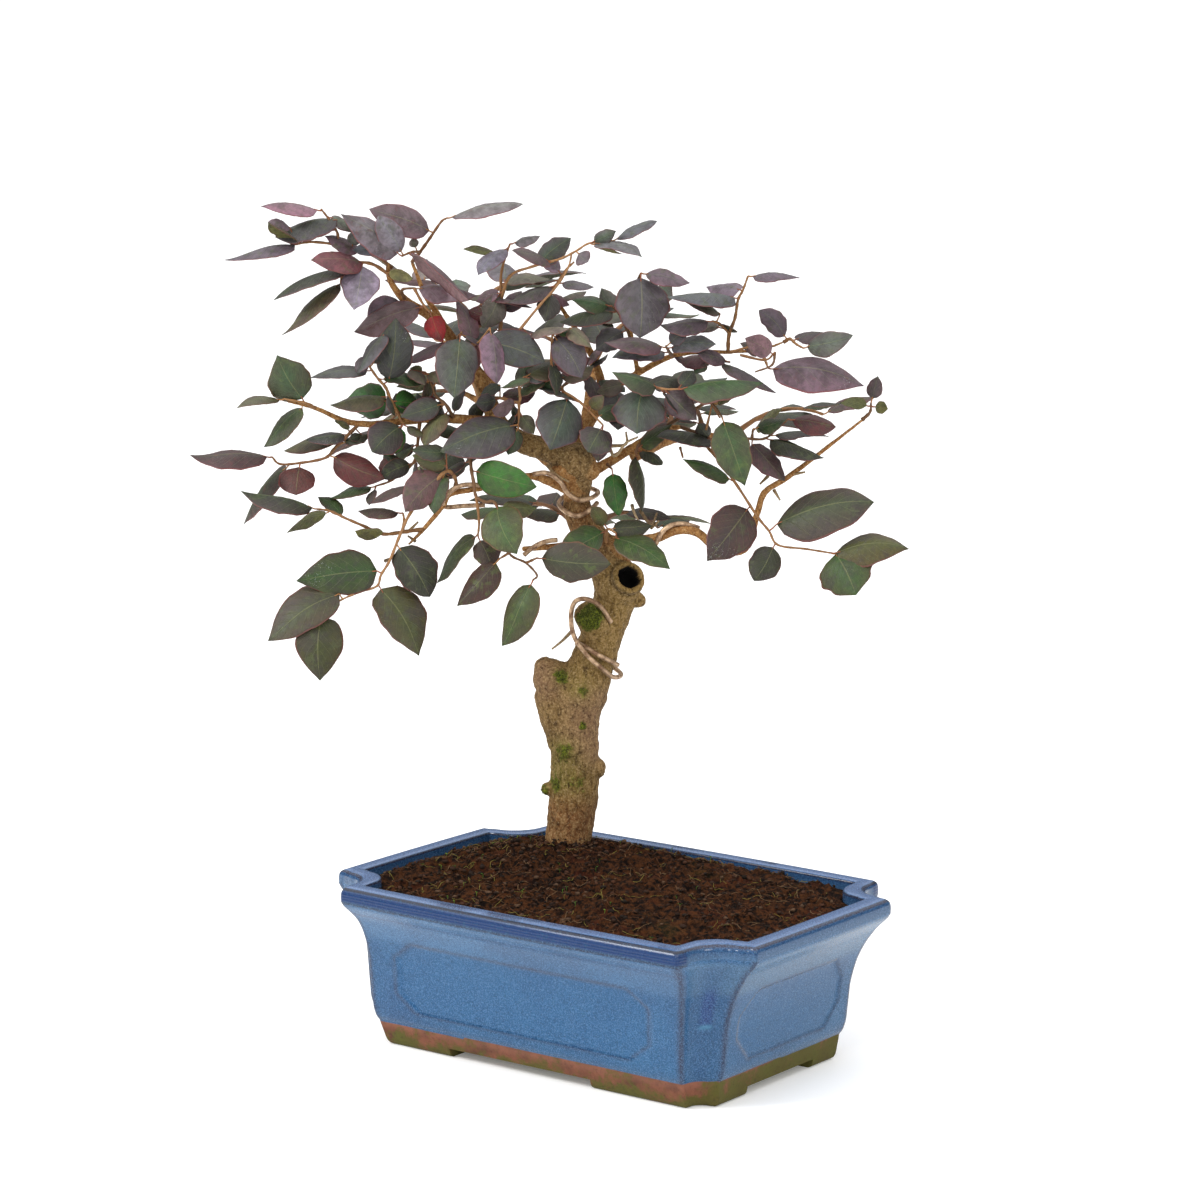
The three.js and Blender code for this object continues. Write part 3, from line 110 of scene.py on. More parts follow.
studio = bpy.data.worlds.new("studio")
studio.use_nodes = True
sky = studio.node_tree
dome = sky.nodes["Background"]
dome.inputs["Color"].default_value = white
direction = sky.nodes.new("ShaderNodeTexCoord")
split = sky.nodes.new("ShaderNodeSeparateXYZ")
overhead = sky.nodes.new("ShaderNodeMapRange")
overhead.interpolation_type = "SMOOTHSTEP"
for name, value in (("From Min", 0.2), ("From Max", 0.9), ("To Min", 0.15), ("To Max", 1.9)):
    overhead.inputs[name].default_value = value
backdrop = sky.nodes.new("ShaderNodeBackground")
backdrop.inputs["Color"].default_value = white
backdrop.inputs["Strength"].default_value = 1.1
seen = sky.nodes.new("ShaderNodeLightPath")
either = sky.nodes.new("ShaderNodeMixShader")
for start, end in ((direction.outputs["Generated"], split.inputs[0]),
                   (split.outputs["Z"], overhead.inputs["Value"]),
                   (overhead.outputs[0], dome.inputs["Strength"]),
                   (seen.outputs["Is Camera Ray"], either.inputs[0]),
                   (dome.outputs[0], either.inputs[1]),
                   (backdrop.outputs[0], either.inputs[2]),
                   (either.outputs[0], sky.nodes["World Output"].inputs["Surface"])):
    sky.links.new(start, end)
bpy.context.scene.world = studio
bpy.context.scene.view_settings.view_transform = "Standard"

# Each soft box's place and size in m and its power in W.
lit_place = Vector((0, 0, 0.2))
soft_boxes = {
    "left_box": ((-0.9, -1.5, 1.5), 0.7, 26),
    "right_box": ((2.0, -0.6, 1.1), 0.7, 10),
    "front_box": ((0.5, -1.9, 0.9), 0.25, 5),
}
for name, (place, size, power) in soft_boxes.items():
    lamp = bpy.data.objects.new(name, bpy.data.lights.new(name, "AREA"))
    lamp.data.size = size
    lamp.data.energy = power
    lamp.location = place
    lamp.rotation_euler = (lit_place - Vector(place)).to_track_quat("-Z", "Y").to_euler()
    bpy.context.collection.objects.link(lamp)

# POT. A cut-cornered tray of stoneware: a sunk panel in each side, a heavy rolled lip, four corner
# feet, and speckled blue glaze down to a bare clay band. One closed shell from foot to floor.
pot_length = 260
pot_width = 169.5
corner_cut = 25
rim_width = 11
foot_height = 5
foot_width = 15
floor_top = 16
band_half = (109, 66.5)
band_cut = 13
long_bow = 6
short_bow = 2.4
drain_radius = 9
drain_spacing = 90
# By height: how far the wall has drawn in, from 0 at the rim to 1 at the band, and how far it leans.
drawn_rows = [(13.5, 1.0), (15.5, 0.945), (19, 0.89), (28, 0.84), (44, 0.77), (52, 0.7), (58, 0.62),
              (66, 0.46), (70, 0.345), (74, 0.185), (77, 0.06), (79.4, 0.0)]
lean_rows = [(0, 1.5), (13.5, 3.2), (40, 2.8), (55, 1.6), (68, 0)]
# By height: how far in each part of the shell is tucked, up from the foot and down the inside.
foot_profile = [(0, 6.6), (0.2, 5.7), (0.6, 4.8), (1.3, 4.0), (2.3, 3.3), (3.6, 2.8), (5, 2.4),
                (7, 1.9), (9, 1.35), (11, 0.85), (12.3, 0.55), (12.9, 0.45)]
band_profile = [(13.25, 0.2), (13.6, 0.04)]
wall_heights = np.arange(14.4, 79.5, 1.0)
lip_profile = [(80.2, 0.05), (81.2, 0), (82.2, 0), (83.2, 0.05), (84.2, 0.2), (85, 0.5), (85.7, 1.0),
               (86.3, 1.7), (86.8, 2.6), (87.1, 3.7), (87.2, 5.2), (87.2, 7.4), (87.13, 9),
               (86.9, 10.1), (86.4, 10.8), (85.6, 11), (81, 11)]
inner_profile = [(78, 10), (75, 9), (70, 8.2), (60, 7.6), (45, 7.5), (30, 7.5), (18, 7.8), (16, 9.5)]
# Each side's sunk panel: its middle along the side, half its length, its bottom and top, and the
# length and height of its cut corners.
panels = {"long": (-1.5, 79.5, 22, 59, 12, 9), "short": (0, 44.5, 22, 58, 11, 12)}
panel_depth = 0.9
# The slots between the feet: each one's place along its side, its length and the slant of its ends.
long_slot = (-9.5, 90, 16)
short_slot = (2, 58, 13)


class Flow:
    """A socket of a finish, on which Python's operators add Math nodes"""

    def __init__(self, finish, socket):
        self.finish = finish
        self.socket = socket

    def maths(self, operation, *values):
        return self.finish.node("ShaderNodeMath", {"operation": operation}, dict(enumerate(values)))

    def __add__(self, other):
        return self.maths("ADD", self, other)

    def __radd__(self, other):
        return self.maths("ADD", other, self)

    def __sub__(self, other):
        return self.maths("SUBTRACT", self, other)

    def __rsub__(self, other):
        return self.maths("SUBTRACT", other, self)

    def __mul__(self, other):
        return self.maths("MULTIPLY", self, other)

    def __rmul__(self, other):
        return self.maths("MULTIPLY", other, self)

    def __abs__(self):
        return self.maths("ABSOLUTE", self)

    def part(self):
        return self.maths("FRACT", self)

    def most(self, other):
        return self.maths("MAXIMUM", self, other)

    def band(self, low, full, fading, gone):
        """1 from full to fading, and 0 below low and above gone"""
        return self.between(low, full) * (1 - self.between(fading, gone))

    def between(self, low, high):
        """0 below low, 1 above high, and smooth between them"""
        return self.finish.node("ShaderNodeMapRange", {"interpolation_type": "SMOOTHSTEP"},
                                {"Value": self, "From Min": low, "From Max": high})


class Finish:
    """A material to which nodes are added with their settings and inputs"""

    def __init__(self, name, **fixed):
        self.material = bpy.data.materials.new(name)
        self.material.use_nodes = True
        self.tree = self.material.node_tree
        self.shader = self.tree.nodes["Principled BSDF"]
        self.set(**fixed)

    def plug(self, socket, value):
        """A link to a Flow, a colour from its hex code, or a plain value"""
        if isinstance(value, Flow):
            self.tree.links.new(value.socket, socket)
        else:
            socket.default_value = paint(value) if isinstance(value, str) else value

    def set(self, **values):
        for name, value in values.items():
            self.plug(self.shader.inputs[name.replace("_", " ")], value)

    def node(self, kind, settings=None, inputs=None, output=0):
        node = self.tree.nodes.new(kind)
        for name, value in (settings or {}).items():
            setattr(node, name, value)
        for name, value in (inputs or {}).items():
            self.plug(node.inputs[name], value)
        return Flow(self, node.outputs[output])

    def place(self):
        return self.node("ShaderNodeTexCoord", output="Object")

    def height(self):
        """The height of the surface in mm"""
        return self.node("ShaderNodeSeparateXYZ", None, {0: self.place()}, 2) * 1000

    def stretched(self, scale):
        return self.node("ShaderNodeMapping", None, {"Vector": self.place(), "Scale": scale})

    def cloud(self, scale, detail=3.0, roughness=0.55, vector=None, distortion=0.0):
        return self.node("ShaderNodeTexNoise", None, {
            "Vector": vector or self.place(), "Scale": scale, "Detail": detail,
            "Roughness": roughness, "Distortion": distortion})

    def cells(self, scale, feature="F1", vector=None):
        return self.node("ShaderNodeTexVoronoi", {"feature": feature}, {
            "Vector": vector or self.place(), "Scale": scale})

    def mix(self, share, first, second):
        return self.node("ShaderNodeMix", {"data_type": "RGBA"}, {0: share, 6: first, 7: second}, 2)

    def layered(self, colour, *coats):
        """A colour under coats of others, each with the share of it that shows"""
        for share, coat in coats:
            colour = self.mix(share, colour, coat)
        return colour

    def attribute(self, name, output="Fac"):
        return self.node("ShaderNodeAttribute", {"attribute_name": name}, output=output)

    def bump(self, height, distance, strength=1.0):
        return self.node("ShaderNodeBump", None, {
            "Height": height, "Distance": distance, "Strength": strength})


def paint(code):
    """A hex colour, as seen on a screen, as linear light"""
    parts = [int(code[i:i + 2], 16) / 255 for i in (0, 2, 4)]
    return (*[p / 12.92 if p <= 0.04045 else ((p + 0.055) / 1.055) ** 2.4 for p in parts], 1)


def new_piece(name, points, faces):
    """An object at the origin from points in mm"""
    mesh = bpy.data.meshes.new(name)
    mesh.from_pydata(to_metres(points).tolist(), [], faces)
    mesh.polygons.foreach_set("use_smooth", [True] * len(mesh.polygons))
    mesh.update()
    piece = bpy.data.objects.new(name, mesh)
    bpy.context.collection.objects.link(piece)
    return piece


def points_of(piece):
    """A piece's points back in mm from the middle of the pot's base"""
    places = np.empty(len(piece.data.vertices) * 3)
    piece.data.vertices.foreach_get("co", places)
    return (places.reshape(-1, 3) - pot_middle) * 1000


def give(piece, **layers):
    """Lays numbers or colours on every point of a piece, for its finish to read"""
    for name, values in layers.items():
        kind = "FLOAT" if values.ndim == 1 else "FLOAT_COLOR"
        layer = piece.data.attributes.new(name, kind, "POINT")
        if values.ndim == 1:
            layer.data.foreach_set("value", values)
        else:
            layer.data.foreach_set("color", np.hstack([values, np.ones((len(values), 1))]).ravel())


def apply_modifier(piece, name, kind, **settings):
    modifier = piece.modifiers.new(name, kind)
    for key, value in settings.items():
        setattr(modifier, key, value)
    bpy.ops.object.select_all(action="DESELECT")
    piece.select_set(True)
    bpy.context.view_layer.objects.active = piece
    bpy.ops.object.modifier_apply(modifier=name)


def ring_faces(rows, columns):
    """Faces between closed rings of points, each ring following the one before"""
    return [(r * columns + c, r * columns + (c + 1) % columns,
             (r + 1) * columns + (c + 1) % columns, (r + 1) * columns + c)
            for r in range(rows - 1) for c in range(columns)]


def shell(name, points, columns, middle):
    """A piece of closed rings, shut by a face over the first and by a fan to a middle in the last"""
    rows = len(points) // columns
    last = (rows - 1) * columns
    faces = ring_faces(rows, columns)
    faces += [(last + c, last + (c + 1) % columns, len(points)) for c in range(columns)]
    faces += [tuple(range(columns))[::-1]]
    return new_piece(name, np.vstack([points, [middle]]), faces)


def drawn_at(z):
    """How far the wall has drawn in at a height, from 0 at the rim to 1 at the band"""
    heights, shares = np.array(drawn_rows).T
    slopes = np.gradient(shares, heights)
    i = int(np.clip(np.searchsorted(heights, z) - 1, 0, len(heights) - 2))
    step = heights[i + 1] - heights[i]
    t = (z - heights[i]) / step
    return ((2 * t ** 3 - 3 * t * t + 1) * shares[i] + (t ** 3 - 2 * t * t + t) * step * slopes[i]
            + (3 * t * t - 2 * t ** 3) * shares[i + 1] + (t ** 3 - t * t) * step * slopes[i + 1])


def wall_size(drawn, inset=0.0):
    """Half the length, half the width, the corner cut and the bow of the wall"""
    half_length = pot_length / 2 + (band_half[0] - pot_length / 2) * drawn - inset
    half_width = pot_width / 2 + (band_half[1] - pot_width / 2) * drawn - inset
    cut = corner_cut + (band_cut - corner_cut) * drawn - 0.3 * inset
    return half_length, half_width, cut, 1 - 0.9 * drawn


def lean_at(z):
    """How far the wall leans to the left at a height"""
    return np.interp(z, *np.array(lean_rows).T)


def wall_ring(size, z, long_steps=150, short_steps=84, shoulder_steps=5):
    """One ring of the wall in plan: bowed sides, softly rounded shoulders and hollow corners"""
    half_length, half_width, cut, bow = size
    quarter = []
    for k in range(long_steps // 2 + 1):
        part = k / long_steps
        bulge = long_bow * bow * (1 - part * part)
        quarter.append((part * 2 * (half_length - cut), half_width + bulge))
    arc = []
    for turn in np.radians((24, 34.5, 45, 55.5, 66)):
        reach = (0.934 + 0.056 * math.sin(2 * turn)) * cut
        arc.append((half_length - reach * math.cos(turn), half_width - reach * math.sin(turn)))
    first = np.array([half_length - cut, half_width + 0.75 * long_bow * bow])
    second = np.array([half_length - 0.925 * cut, half_width - 0.16 * cut])
    third = np.array([half_length - 0.16 * cut, half_width - 0.925 * cut])
    fourth = np.array([half_length + 0.75 * short_bow * bow, half_width - cut])
    for k in range(1, shoulder_steps + 1):
        turn = math.radians(90 * k / shoulder_steps)
        quarter.append(tuple(first + (second - first) * (math.sin(turn), 1 - math.cos(turn))))
    quarter += arc
    for k in range(shoulder_steps):
        turn = math.radians(90 * k / shoulder_steps)
        quarter.append(tuple(third + (fourth - third) * (1 - math.cos(turn), math.sin(turn))))
    for k in range(short_steps // 2 + 1):
        part = 0.5 - k / short_steps
        bulge = short_bow * bow * (1 - part * part)
        quarter.append((half_length + bulge, part * 2 * (half_width - cut)))
    quarter = np.array(quarter)
    back = quarter[::-1][1:]
    ring = np.vstack([quarter, back * (1, -1), quarter[1:] * (-1, -1), (back * (-1, 1))[:-1]])[::-1]
    return np.column_stack([ring - (lean_at(z), 0), np.full(len(ring), z)])


def upright(points):
    """Points of the wall set back to where they would be without its lean"""
    return np.column_stack([points[:, 0] + lean_at(points[:, 2]), points[:, 1:]])


def panel_reach(along, z, panel):
    """How far inside a cut-cornered panel a place is, in mm, and negative outside it"""
    middle, half, bottom, top, cut_length, cut_height = panel
    side = half - np.abs(along - middle)
    end = (top - bottom) / 2 - np.abs(z - (top + bottom) / 2)
    corner = (side * cut_height + end * cut_length - cut_length * cut_height) \
        / math.hypot(cut_length, cut_height)
    return np.minimum(np.minimum(side, end), corner)


def eased(value, low, high):
    t = np.clip((value - low) / (high - low), 0, 1)
    return t * t * (3 - 2 * t)


pot_rows = [wall_ring((band_half[0] - tuck, band_half[1] - 0.9 * tuck, band_cut - 0.5 * tuck, 0.1), z)
            for z, tuck in foot_profile]
pot_rows += [wall_ring(wall_size(1, tuck), z) for z, tuck in band_profile]
first_wall = len(pot_rows)
pot_rows += [wall_ring(wall_size(drawn_at(z)), z) for z in wall_heights]
last_wall = len(pot_rows)
pot_rows += [wall_ring(wall_size(0, tuck), z) for z, tuck in lip_profile]
pot_rows += [wall_ring(wall_size(drawn_at(z), tuck), z) for z, tuck in inner_profile]
columns = len(pot_rows[0])
pot_points = np.vstack(pot_rows)

# The panels are sunk by moving the wall's points in.
numbers = np.arange(len(pot_points)) // columns
in_wall = (numbers >= first_wall) & (numbers < last_wall)
straight = upright(pot_points)
for axis, other, side in ((1, 0, "long"), (0, 1, "short")):
    other_half = np.array([wall_size(drawn_at(z))[axis] for z in pot_points[:, 2]])
    on_side = in_wall & (np.abs(straight[:, axis]) > other_half - 2)
    sunk = eased(panel_reach(pot_points[:, other], pot_points[:, 2], panels[side]), -0.9, 0.9)
    pot_points[:, axis] -= np.where(on_side, np.sign(straight[:, axis]) * sunk * panel_depth, 0)
pot = shell("pot_glazed", pot_points, columns, (0, 0, floor_top))


def cutter(place, size, slant=0.0):
    """A block at a place and of a size in mm, whose top is drawn in along its longer side"""
    bpy.ops.object.select_all(action="DESELECT")
    bpy.ops.mesh.primitive_cube_add(size=1, location=to_metres(place), scale=np.array(size) / 1000)
    block = bpy.context.object
    bpy.ops.object.transform_apply(location=True, rotation=True, scale=True)
    bpy.ops.object.mode_set(mode="EDIT")
    bpy.ops.mesh.select_all(action="DESELECT")
    shape = bmesh.from_edit_mesh(block.data)
    shape.faces.ensure_lookup_table()
    for face in shape.faces:
        face.select_set(face.normal.z > 0.9)
    bmesh.update_edit_mesh(block.data)
    if slant:
        longest = int(size[1] > size[0])
        ratio = [1.0, 1.0, 1.0]
        ratio[longest] = 1 - 2 * slant / size[longest]
        bpy.ops.transform.resize(value=ratio)
    bpy.ops.object.mode_set(mode="OBJECT")
    return block


def cut_out(piece, block):
    apply_modifier(piece, "cut", "BOOLEAN", operation="DIFFERENCE", object=block, solver="EXACT")
    bpy.data.objects.remove(block, do_unlink=True)


# The recess and the slots between the feet are each a hair lower than the one before, so that no two
# faces meet.
recess = 2 * np.array(band_half) - 2 * foot_width
recess_shift = -2
beyond = 20
hair = 0.02
cut_out(pot, cutter((recess_shift, 0, 0), (recess[0] + 2 * recess_shift, recess[1], 2 * foot_height)))
cut_out(pot, cutter((long_slot[0], 0, 0), (long_slot[1], pot_width + beyond, 2 * foot_height - hair),
                    slant=long_slot[2]))
cut_out(pot, cutter((0, short_slot[0], 0),
                    (pot_length + beyond, short_slot[1], 2 * foot_height - 2 * hair),
                    slant=short_slot[2]))
for side in (-1, 1):
    bpy.ops.mesh.primitive_cylinder_add(vertices=40, radius=drain_radius / 1000, depth=0.06,
                                        location=to_metres((side * drain_spacing / 2, 0, 10)))
    cut_out(pot, bpy.context.object)

# The finish reads where the glaze breaks thin, on ridges and panel edges, and where it lies deep.
pot_points = points_of(pot)
across, along, heights = upright(pot_points).T
lengthwise, widthwise = np.abs(across), np.abs(along)
half_length, half_width, cut, bow = np.array([
    wall_size(drawn_at(min(max(z, drawn_rows[0][0]), drawn_rows[-1][0]))) for z in heights]).T
ridge = np.zeros(len(pot_points))
for shoulder in ((half_length - cut + 0.4, half_width + 0.6 * long_bow * bow),
                 (half_length + 0.5 * short_bow * bow, half_width - cut + 0.4)):
    gap = np.hypot(lengthwise - shoulder[0], widthwise - shoulder[1])
    ridge = np.maximum(ridge, np.exp(-(gap / 2.1) ** 2))
on_long = widthwise > half_width - 2.5
on_short = lengthwise > half_length - 2.5
reach = np.where(on_long, panel_reach(across, heights, panels["long"]),
                 np.where(on_short, panel_reach(along, heights, panels["short"]), -9))
hollow_gap = np.hypot(lengthwise - half_length + 0.7 * cut, widthwise - half_width + 0.7 * cut)
# A drip has run down the near corner, and has a pale rim where it stopped.
drip_foot, drip_head, drip_reach = 42, 56, 3.4
drip_gap = np.hypot(across - half_length + 0.6 * cut, along + half_width - 0.74 * cut)
drip = eased(drip_reach - drip_gap, 0, 1.6) * eased(heights, drip_foot - 0.5, drip_foot + 1.5) \
    * (1 - eased(heights, drip_head, drip_head + 10))
drip_rim = eased(drip_reach + 0.8 - drip_gap, 0, 1.2) * np.exp(-((heights - drip_foot) / 1.1) ** 2)
mossy = (0.1 + 0.9 * eased(lengthwise - 98 + 0.1 * heights, 0, 5)) * eased(15 - heights, 0, 3)
glaze_drop = np.where(on_short & (along < 0), 0.8, 0) + np.where(across < -40, -0.8, 0.3)
give(pot, front=on_long.astype(float), glaze_drop=glaze_drop, drip=drip, drip_rim=drip_rim,
     mossy=mossy, ridge=ridge, panel_edge=np.exp(-((reach + 0.6) / 1.1) ** 2),
     panel=eased(reach, -0.5, 2.5), hollow=np.exp(-(hollow_gap / (0.45 * cut)) ** 2))

glaze = Finish("speckled_blue_glaze", Coat_Roughness=0.04, IOR=1.5, Specular_IOR_Level=0.28)
z = glaze.height()
front = glaze.attribute("front")
drift = glaze.cloud(20, 3, 0.6)
streak = glaze.cloud(70, 3, 0.6, vector=glaze.stretched((1, 1, 0.3)))
fine = glaze.cloud(1500, 2, 0.8)
speckle = 1 - glaze.cells(800).between(0.1, 0.34)
fleck = glaze.cloud(620, 2, 0.6, vector=glaze.stretched((1, 1, 1.3))).between(0.55, 0.72)
flare = z.band(57, 62, 76, 79)
violet_line = z.band(71.4, 72.4, 72.9, 74) * front
# Under the lip roll on the long sides, a dark navy line is painted shade.
under_lip_shade = z.band(77.8, 78.6, 79.2, 80.2) * front
lip_face = z.band(79.2, 80.4, 84.9, 85.9)
top_edge = z.band(85.0, 85.7, 86.4, 86.8)
# The rim's top is painted pale lavender, a painted reflection of the sky, with darker navy glaze
# patches on the long sides.
rim_top_reflection_and_patches = z.between(86.5, 86.9)
thin = glaze.attribute("ridge").most(glaze.attribute("panel_edge") * 0.7)
dark_lip = lip_face.most(top_edge) * (0.3 + front * 0.6)
side_lip = glaze.mix((z - 79) * 0.16, "3b5977", "1d3c62")
blue = glaze.layered(
    glaze.mix(drift.between(0.3, 0.7), "17426a", "22557c"),
    (glaze.attribute("panel") * 0.6, "134e79"),
    (streak.between(0.52, 0.75) * 0.5, "2a5279"),
    (flare * 0.7, glaze.mix(drift.between(0.35, 0.65), "3d5b7c", "466c90")),
    (flare * (1 - front) * 0.5, "47667c"),
    (thin * (0.5 + streak * 0.8), "272639"),
    (violet_line * 0.35, "2e2f51"),
    (glaze.attribute("hollow") * (1 - z.between(72, 79)) * 0.6, "123961"),
    (glaze.attribute("drip") * 0.9, "0a2c66"),
    (glaze.attribute("drip_rim") * 0.6, "4a8ca8"),
    (lip_face, glaze.mix(front, side_lip, "12305e")),
    (under_lip_shade * 0.9, "060d27"),
    (top_edge, glaze.mix(front, "21162a", "070d27")),
    (rim_top_reflection_and_patches, glaze.mix(drift.between(0.5, 0.6) * front, "52668e", "14224e")),
    (speckle * 0.5, "0a1e34"),
    (fleck * 0.4, "154c68"),
    (fine.between(0.44, 0.64) * (1 - dark_lip) * 0.4, "5c86b0"),
    ((1 - fine.between(0.36, 0.48)) * 0.4, "0a2342"))
clay_drift = glaze.cloud(70, 4, 0.65)
algae = (glaze.cloud(60, 5, 0.75) + (1 - z.between(2, 11)) * 0.17 + glaze.attribute("mossy") * 0.16
         + (1 - front) * 0.035).between(0.52, 0.7)
clay = glaze.layered(
    glaze.mix(clay_drift.between(0.35, 0.7), "7c4c38", "503224"),
    (z.between(8, 12.5) * 0.4, "90604e"),
    (algae * 0.85, glaze.mix(clay_drift, "34380f", "626426")),
    (glaze.cloud(500, 3, 0.7).between(0.5, 0.75) * 0.4, "2c2018"))
bare = 1 - (z + (drift - 0.5) * 1.2 - glaze.attribute("glaze_drop")).between(12.9, 13.4)
throwing = abs((z * 0.72).part() - 0.5).between(0, 0.5) * lip_face * front
relief = (glaze.cloud(240, 2, 0.5) * (1 - bare) * 0.3 + glaze.cloud(1100, 3, 0.7) * bare
          + throwing * 0.8)
glaze.set(Base_Color=glaze.mix(bare, blue, clay), Roughness=0.2 + fine * 0.12 + bare * 0.55,
          Coat_Weight=(1 - bare) * (0.12 + z.between(83, 84) * 0.3),
          Normal=glaze.bump(relief, 0.0003, 0.5))
pot.data.materials.append(glaze.material)
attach(pot, "root")
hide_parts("pot")

# SCREENS. Two squares of dark plastic mesh, laid over the drain holes to keep the soil in. The packed
# ones stay in view, and get their finish here.
mesh_finish = Finish("dark_screen_plastic")
grime = mesh_finish.cloud(300, 4, 0.65)
mesh_finish.set(Base_Color=mesh_finish.mix(grime.between(0.4, 0.7), "23282a", "4a4638"),
                Roughness=0.5 + grime * 0.3, Normal=mesh_finish.bump(grime, 0.0004, 0.6))
for name in ("screen_left", "screen_right"):
    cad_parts[name].data.materials.clear()
    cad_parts[name].data.materials.append(mesh_finish.material)

# SOIL. Dark fibrous peat, mounded up to the foot of the trunk, with crumbs, straw fibres and a few
# seedlings on it. Its body goes down to the pot's floor.
soil_edge = 82
mound_height = 94.5
seat_gap = 0.35
soil_steps = 74
lump_seed = 11
crumb_count = 2600
foot_crumb_count = 260
fibre_count = 900
seedling_count = 56
crumb_sizes = (0.35, 0.45, 0.55, 0.7, 0.8, 1.1, 1.5)
crumb_tones = ([0.016, 0.008, 0.005], [0.03, 0.014, 0.008], [0.065, 0.026, 0.013],
               [0.009, 0.006, 0.004], [0.09, 0.05, 0.028])
fibre_tones = ([0.22, 0.18, 0.04], [0.1, 0.04, 0.017], [0.06, 0.024, 0.01], [0.14, 0.055, 0.02],
               [0.2, 0.12, 0.06])
seedling_tones = ([0.08, 0.16, 0.02], [0.14, 0.24, 0.03], [0.05, 0.11, 0.015])
# By height: how far in from the wall's outside the soil's body is, down to the pot's floor.
body_profile = [(18, 8.3), (45, 8.1), (60, 8.2), (72, 8.9), (78, 10.8), (81, 11.3)]
random.seed(lump_seed)


def lump(x, y, scale, detail=3):
    return noise.fractal(Vector((x / scale, y / scale, lump_seed)), 0.7, 2.0, detail)


def soil_row(size, z):
    return wall_ring(size, z, 100, 60, 3)


soil_ring = soil_row(wall_size(0, rim_width + seat_gap), soil_edge)
soil_rows = [soil_row(wall_size(drawn_at(z) if z < 80 else 0.02, tuck), z)
             for z, tuck in body_profile]


def from_trunk(x, y, share):
    """A place a share of the way from the trunk's foot out to another"""
    return trunk_foot[0] + (x - trunk_foot[0]) * share, trunk_foot[1] + (y - trunk_foot[1]) * share


def mound_at(share):
    """The height of the mound, by how far out from the trunk to the rim a place is"""
    rise = np.interp(share, [0, 0.14, 0.4, 0.72, 1], [1, 0.97, 0.76, 0.37, 0])
    return soil_edge + (mound_height - soil_edge) * rise


for k in range(soil_steps):
    share = (1 - k / soil_steps) ** 0.9
    row = []
    for x, y, z in soil_ring:
        px, py = from_trunk(x, y, share)
        calm = min(1.0, (1 - share) * 12 + 0.15)
        rough = 2.3 * lump(px, py, 15) + 1.9 * lump(px, py, 4.5) + 1.2 * lump(px, py, 1.7, 2)
        row.append((px, py, min(mound_at(share) - 0.6 + rough * calm, mound_height + 2.5)))
    soil_rows.append(np.array(row))
soil_points = np.vstack(soil_rows)
soil = shell("soil_peat", soil_points, len(soil_ring), soil_rows[-1].mean(axis=0))


def tree_of(points):
    """Points sorted so that the nearest ones to a place are quickly found"""
    tree = KDTree(len(points))
    for i, point in enumerate(points):
        tree.insert(point, i)
    tree.balance()
    return tree


ground = tree_of([(x, y, 0) for x, y, z in soil_points])


def ground_height(x, y):
    places = ground.find_n((x, y, 0), 3)
    return max(soil_points[i][2] for place, i, gap in places)


def spot_on_soil():
    """A seeded place on the soil's surface"""
    x, y, z = random.choice(soil_ring)
    px, py = from_trunk(x, y, math.sqrt(random.uniform(0.012, 0.95)))
    return px, py, ground_height(px, py)


class Heap:
    """Gathers the points and faces of many small things into one piece"""

    def __init__(self):
        self.points = []
        self.faces = []
        self.finishes = []
        self.layers = {}
        self.count = 0

    def add(self, points, faces, finish=0, **layers):
        points = np.asarray(points, float).reshape(-1, 3)
        self.points.append(points)
        self.faces += [tuple(i + self.count for i in face) for face in faces]
        self.finishes += [finish] * len(faces)
        for name, value in layers.items():
            value = np.asarray(value, float)
            wide = value.shape[-1:] if value.ndim and value.shape[-1] in (2, 3) else ()
            self.layers.setdefault(name, []).append(np.broadcast_to(value, (len(points), *wide)))
        self.count += len(points)

    def piece(self, name, *finishes):
        made = new_piece(name, np.concatenate(self.points), self.faces)
        for layer, values in self.layers.items():
            values = np.concatenate(values)
            if layer == "uv":
                corners = np.empty(len(made.data.loops), int)
                made.data.loops.foreach_get("vertex_index", corners)
                made.data.uv_layers.new(name="uv").uv.foreach_set("vector", values[corners].ravel())
            else:
                give(made, **{layer: values})
        for finish in finishes:
            made.data.materials.append(finish.material)
        made.data.polygons.foreach_set("material_index", self.finishes)
        return made


def unit(vector):
    return vector / np.linalg.norm(vector)


def tube(heap, path, radii, sides, finish=0, **layers):
    """A closed round stem along a path, added to a heap"""
    path = np.asarray(path, float)
    radii = np.broadcast_to(np.asarray(radii, float), (len(path),))
    across = np.array([0.31, 0.92, 0.24])
    turns = 2 * math.pi * np.arange(sides) / sides
    rings = []
    for i, point in enumerate(path):
        along = unit(path[min(i + 1, len(path) - 1)] - path[max(i - 1, 0)])
        across = unit(across - along * (across @ along))
        other = np.cross(along, across)
        spokes = np.outer(np.cos(turns), across) + np.outer(np.sin(turns), other)
        rings.append(point + spokes * radii[i])
    points = np.vstack([*rings, path[:1], path[-1:]])
    first, last = len(points) - 2, len(points) - 1
    start = (len(path) - 1) * sides
    faces = ring_faces(len(path), sides)
    faces += [(first, (k + 1) % sides, k) for k in range(sides)]
    faces += [(last, start + k, start + (k + 1) % sides) for k in range(sides)]
    heap.add(points, faces, finish, **layers)


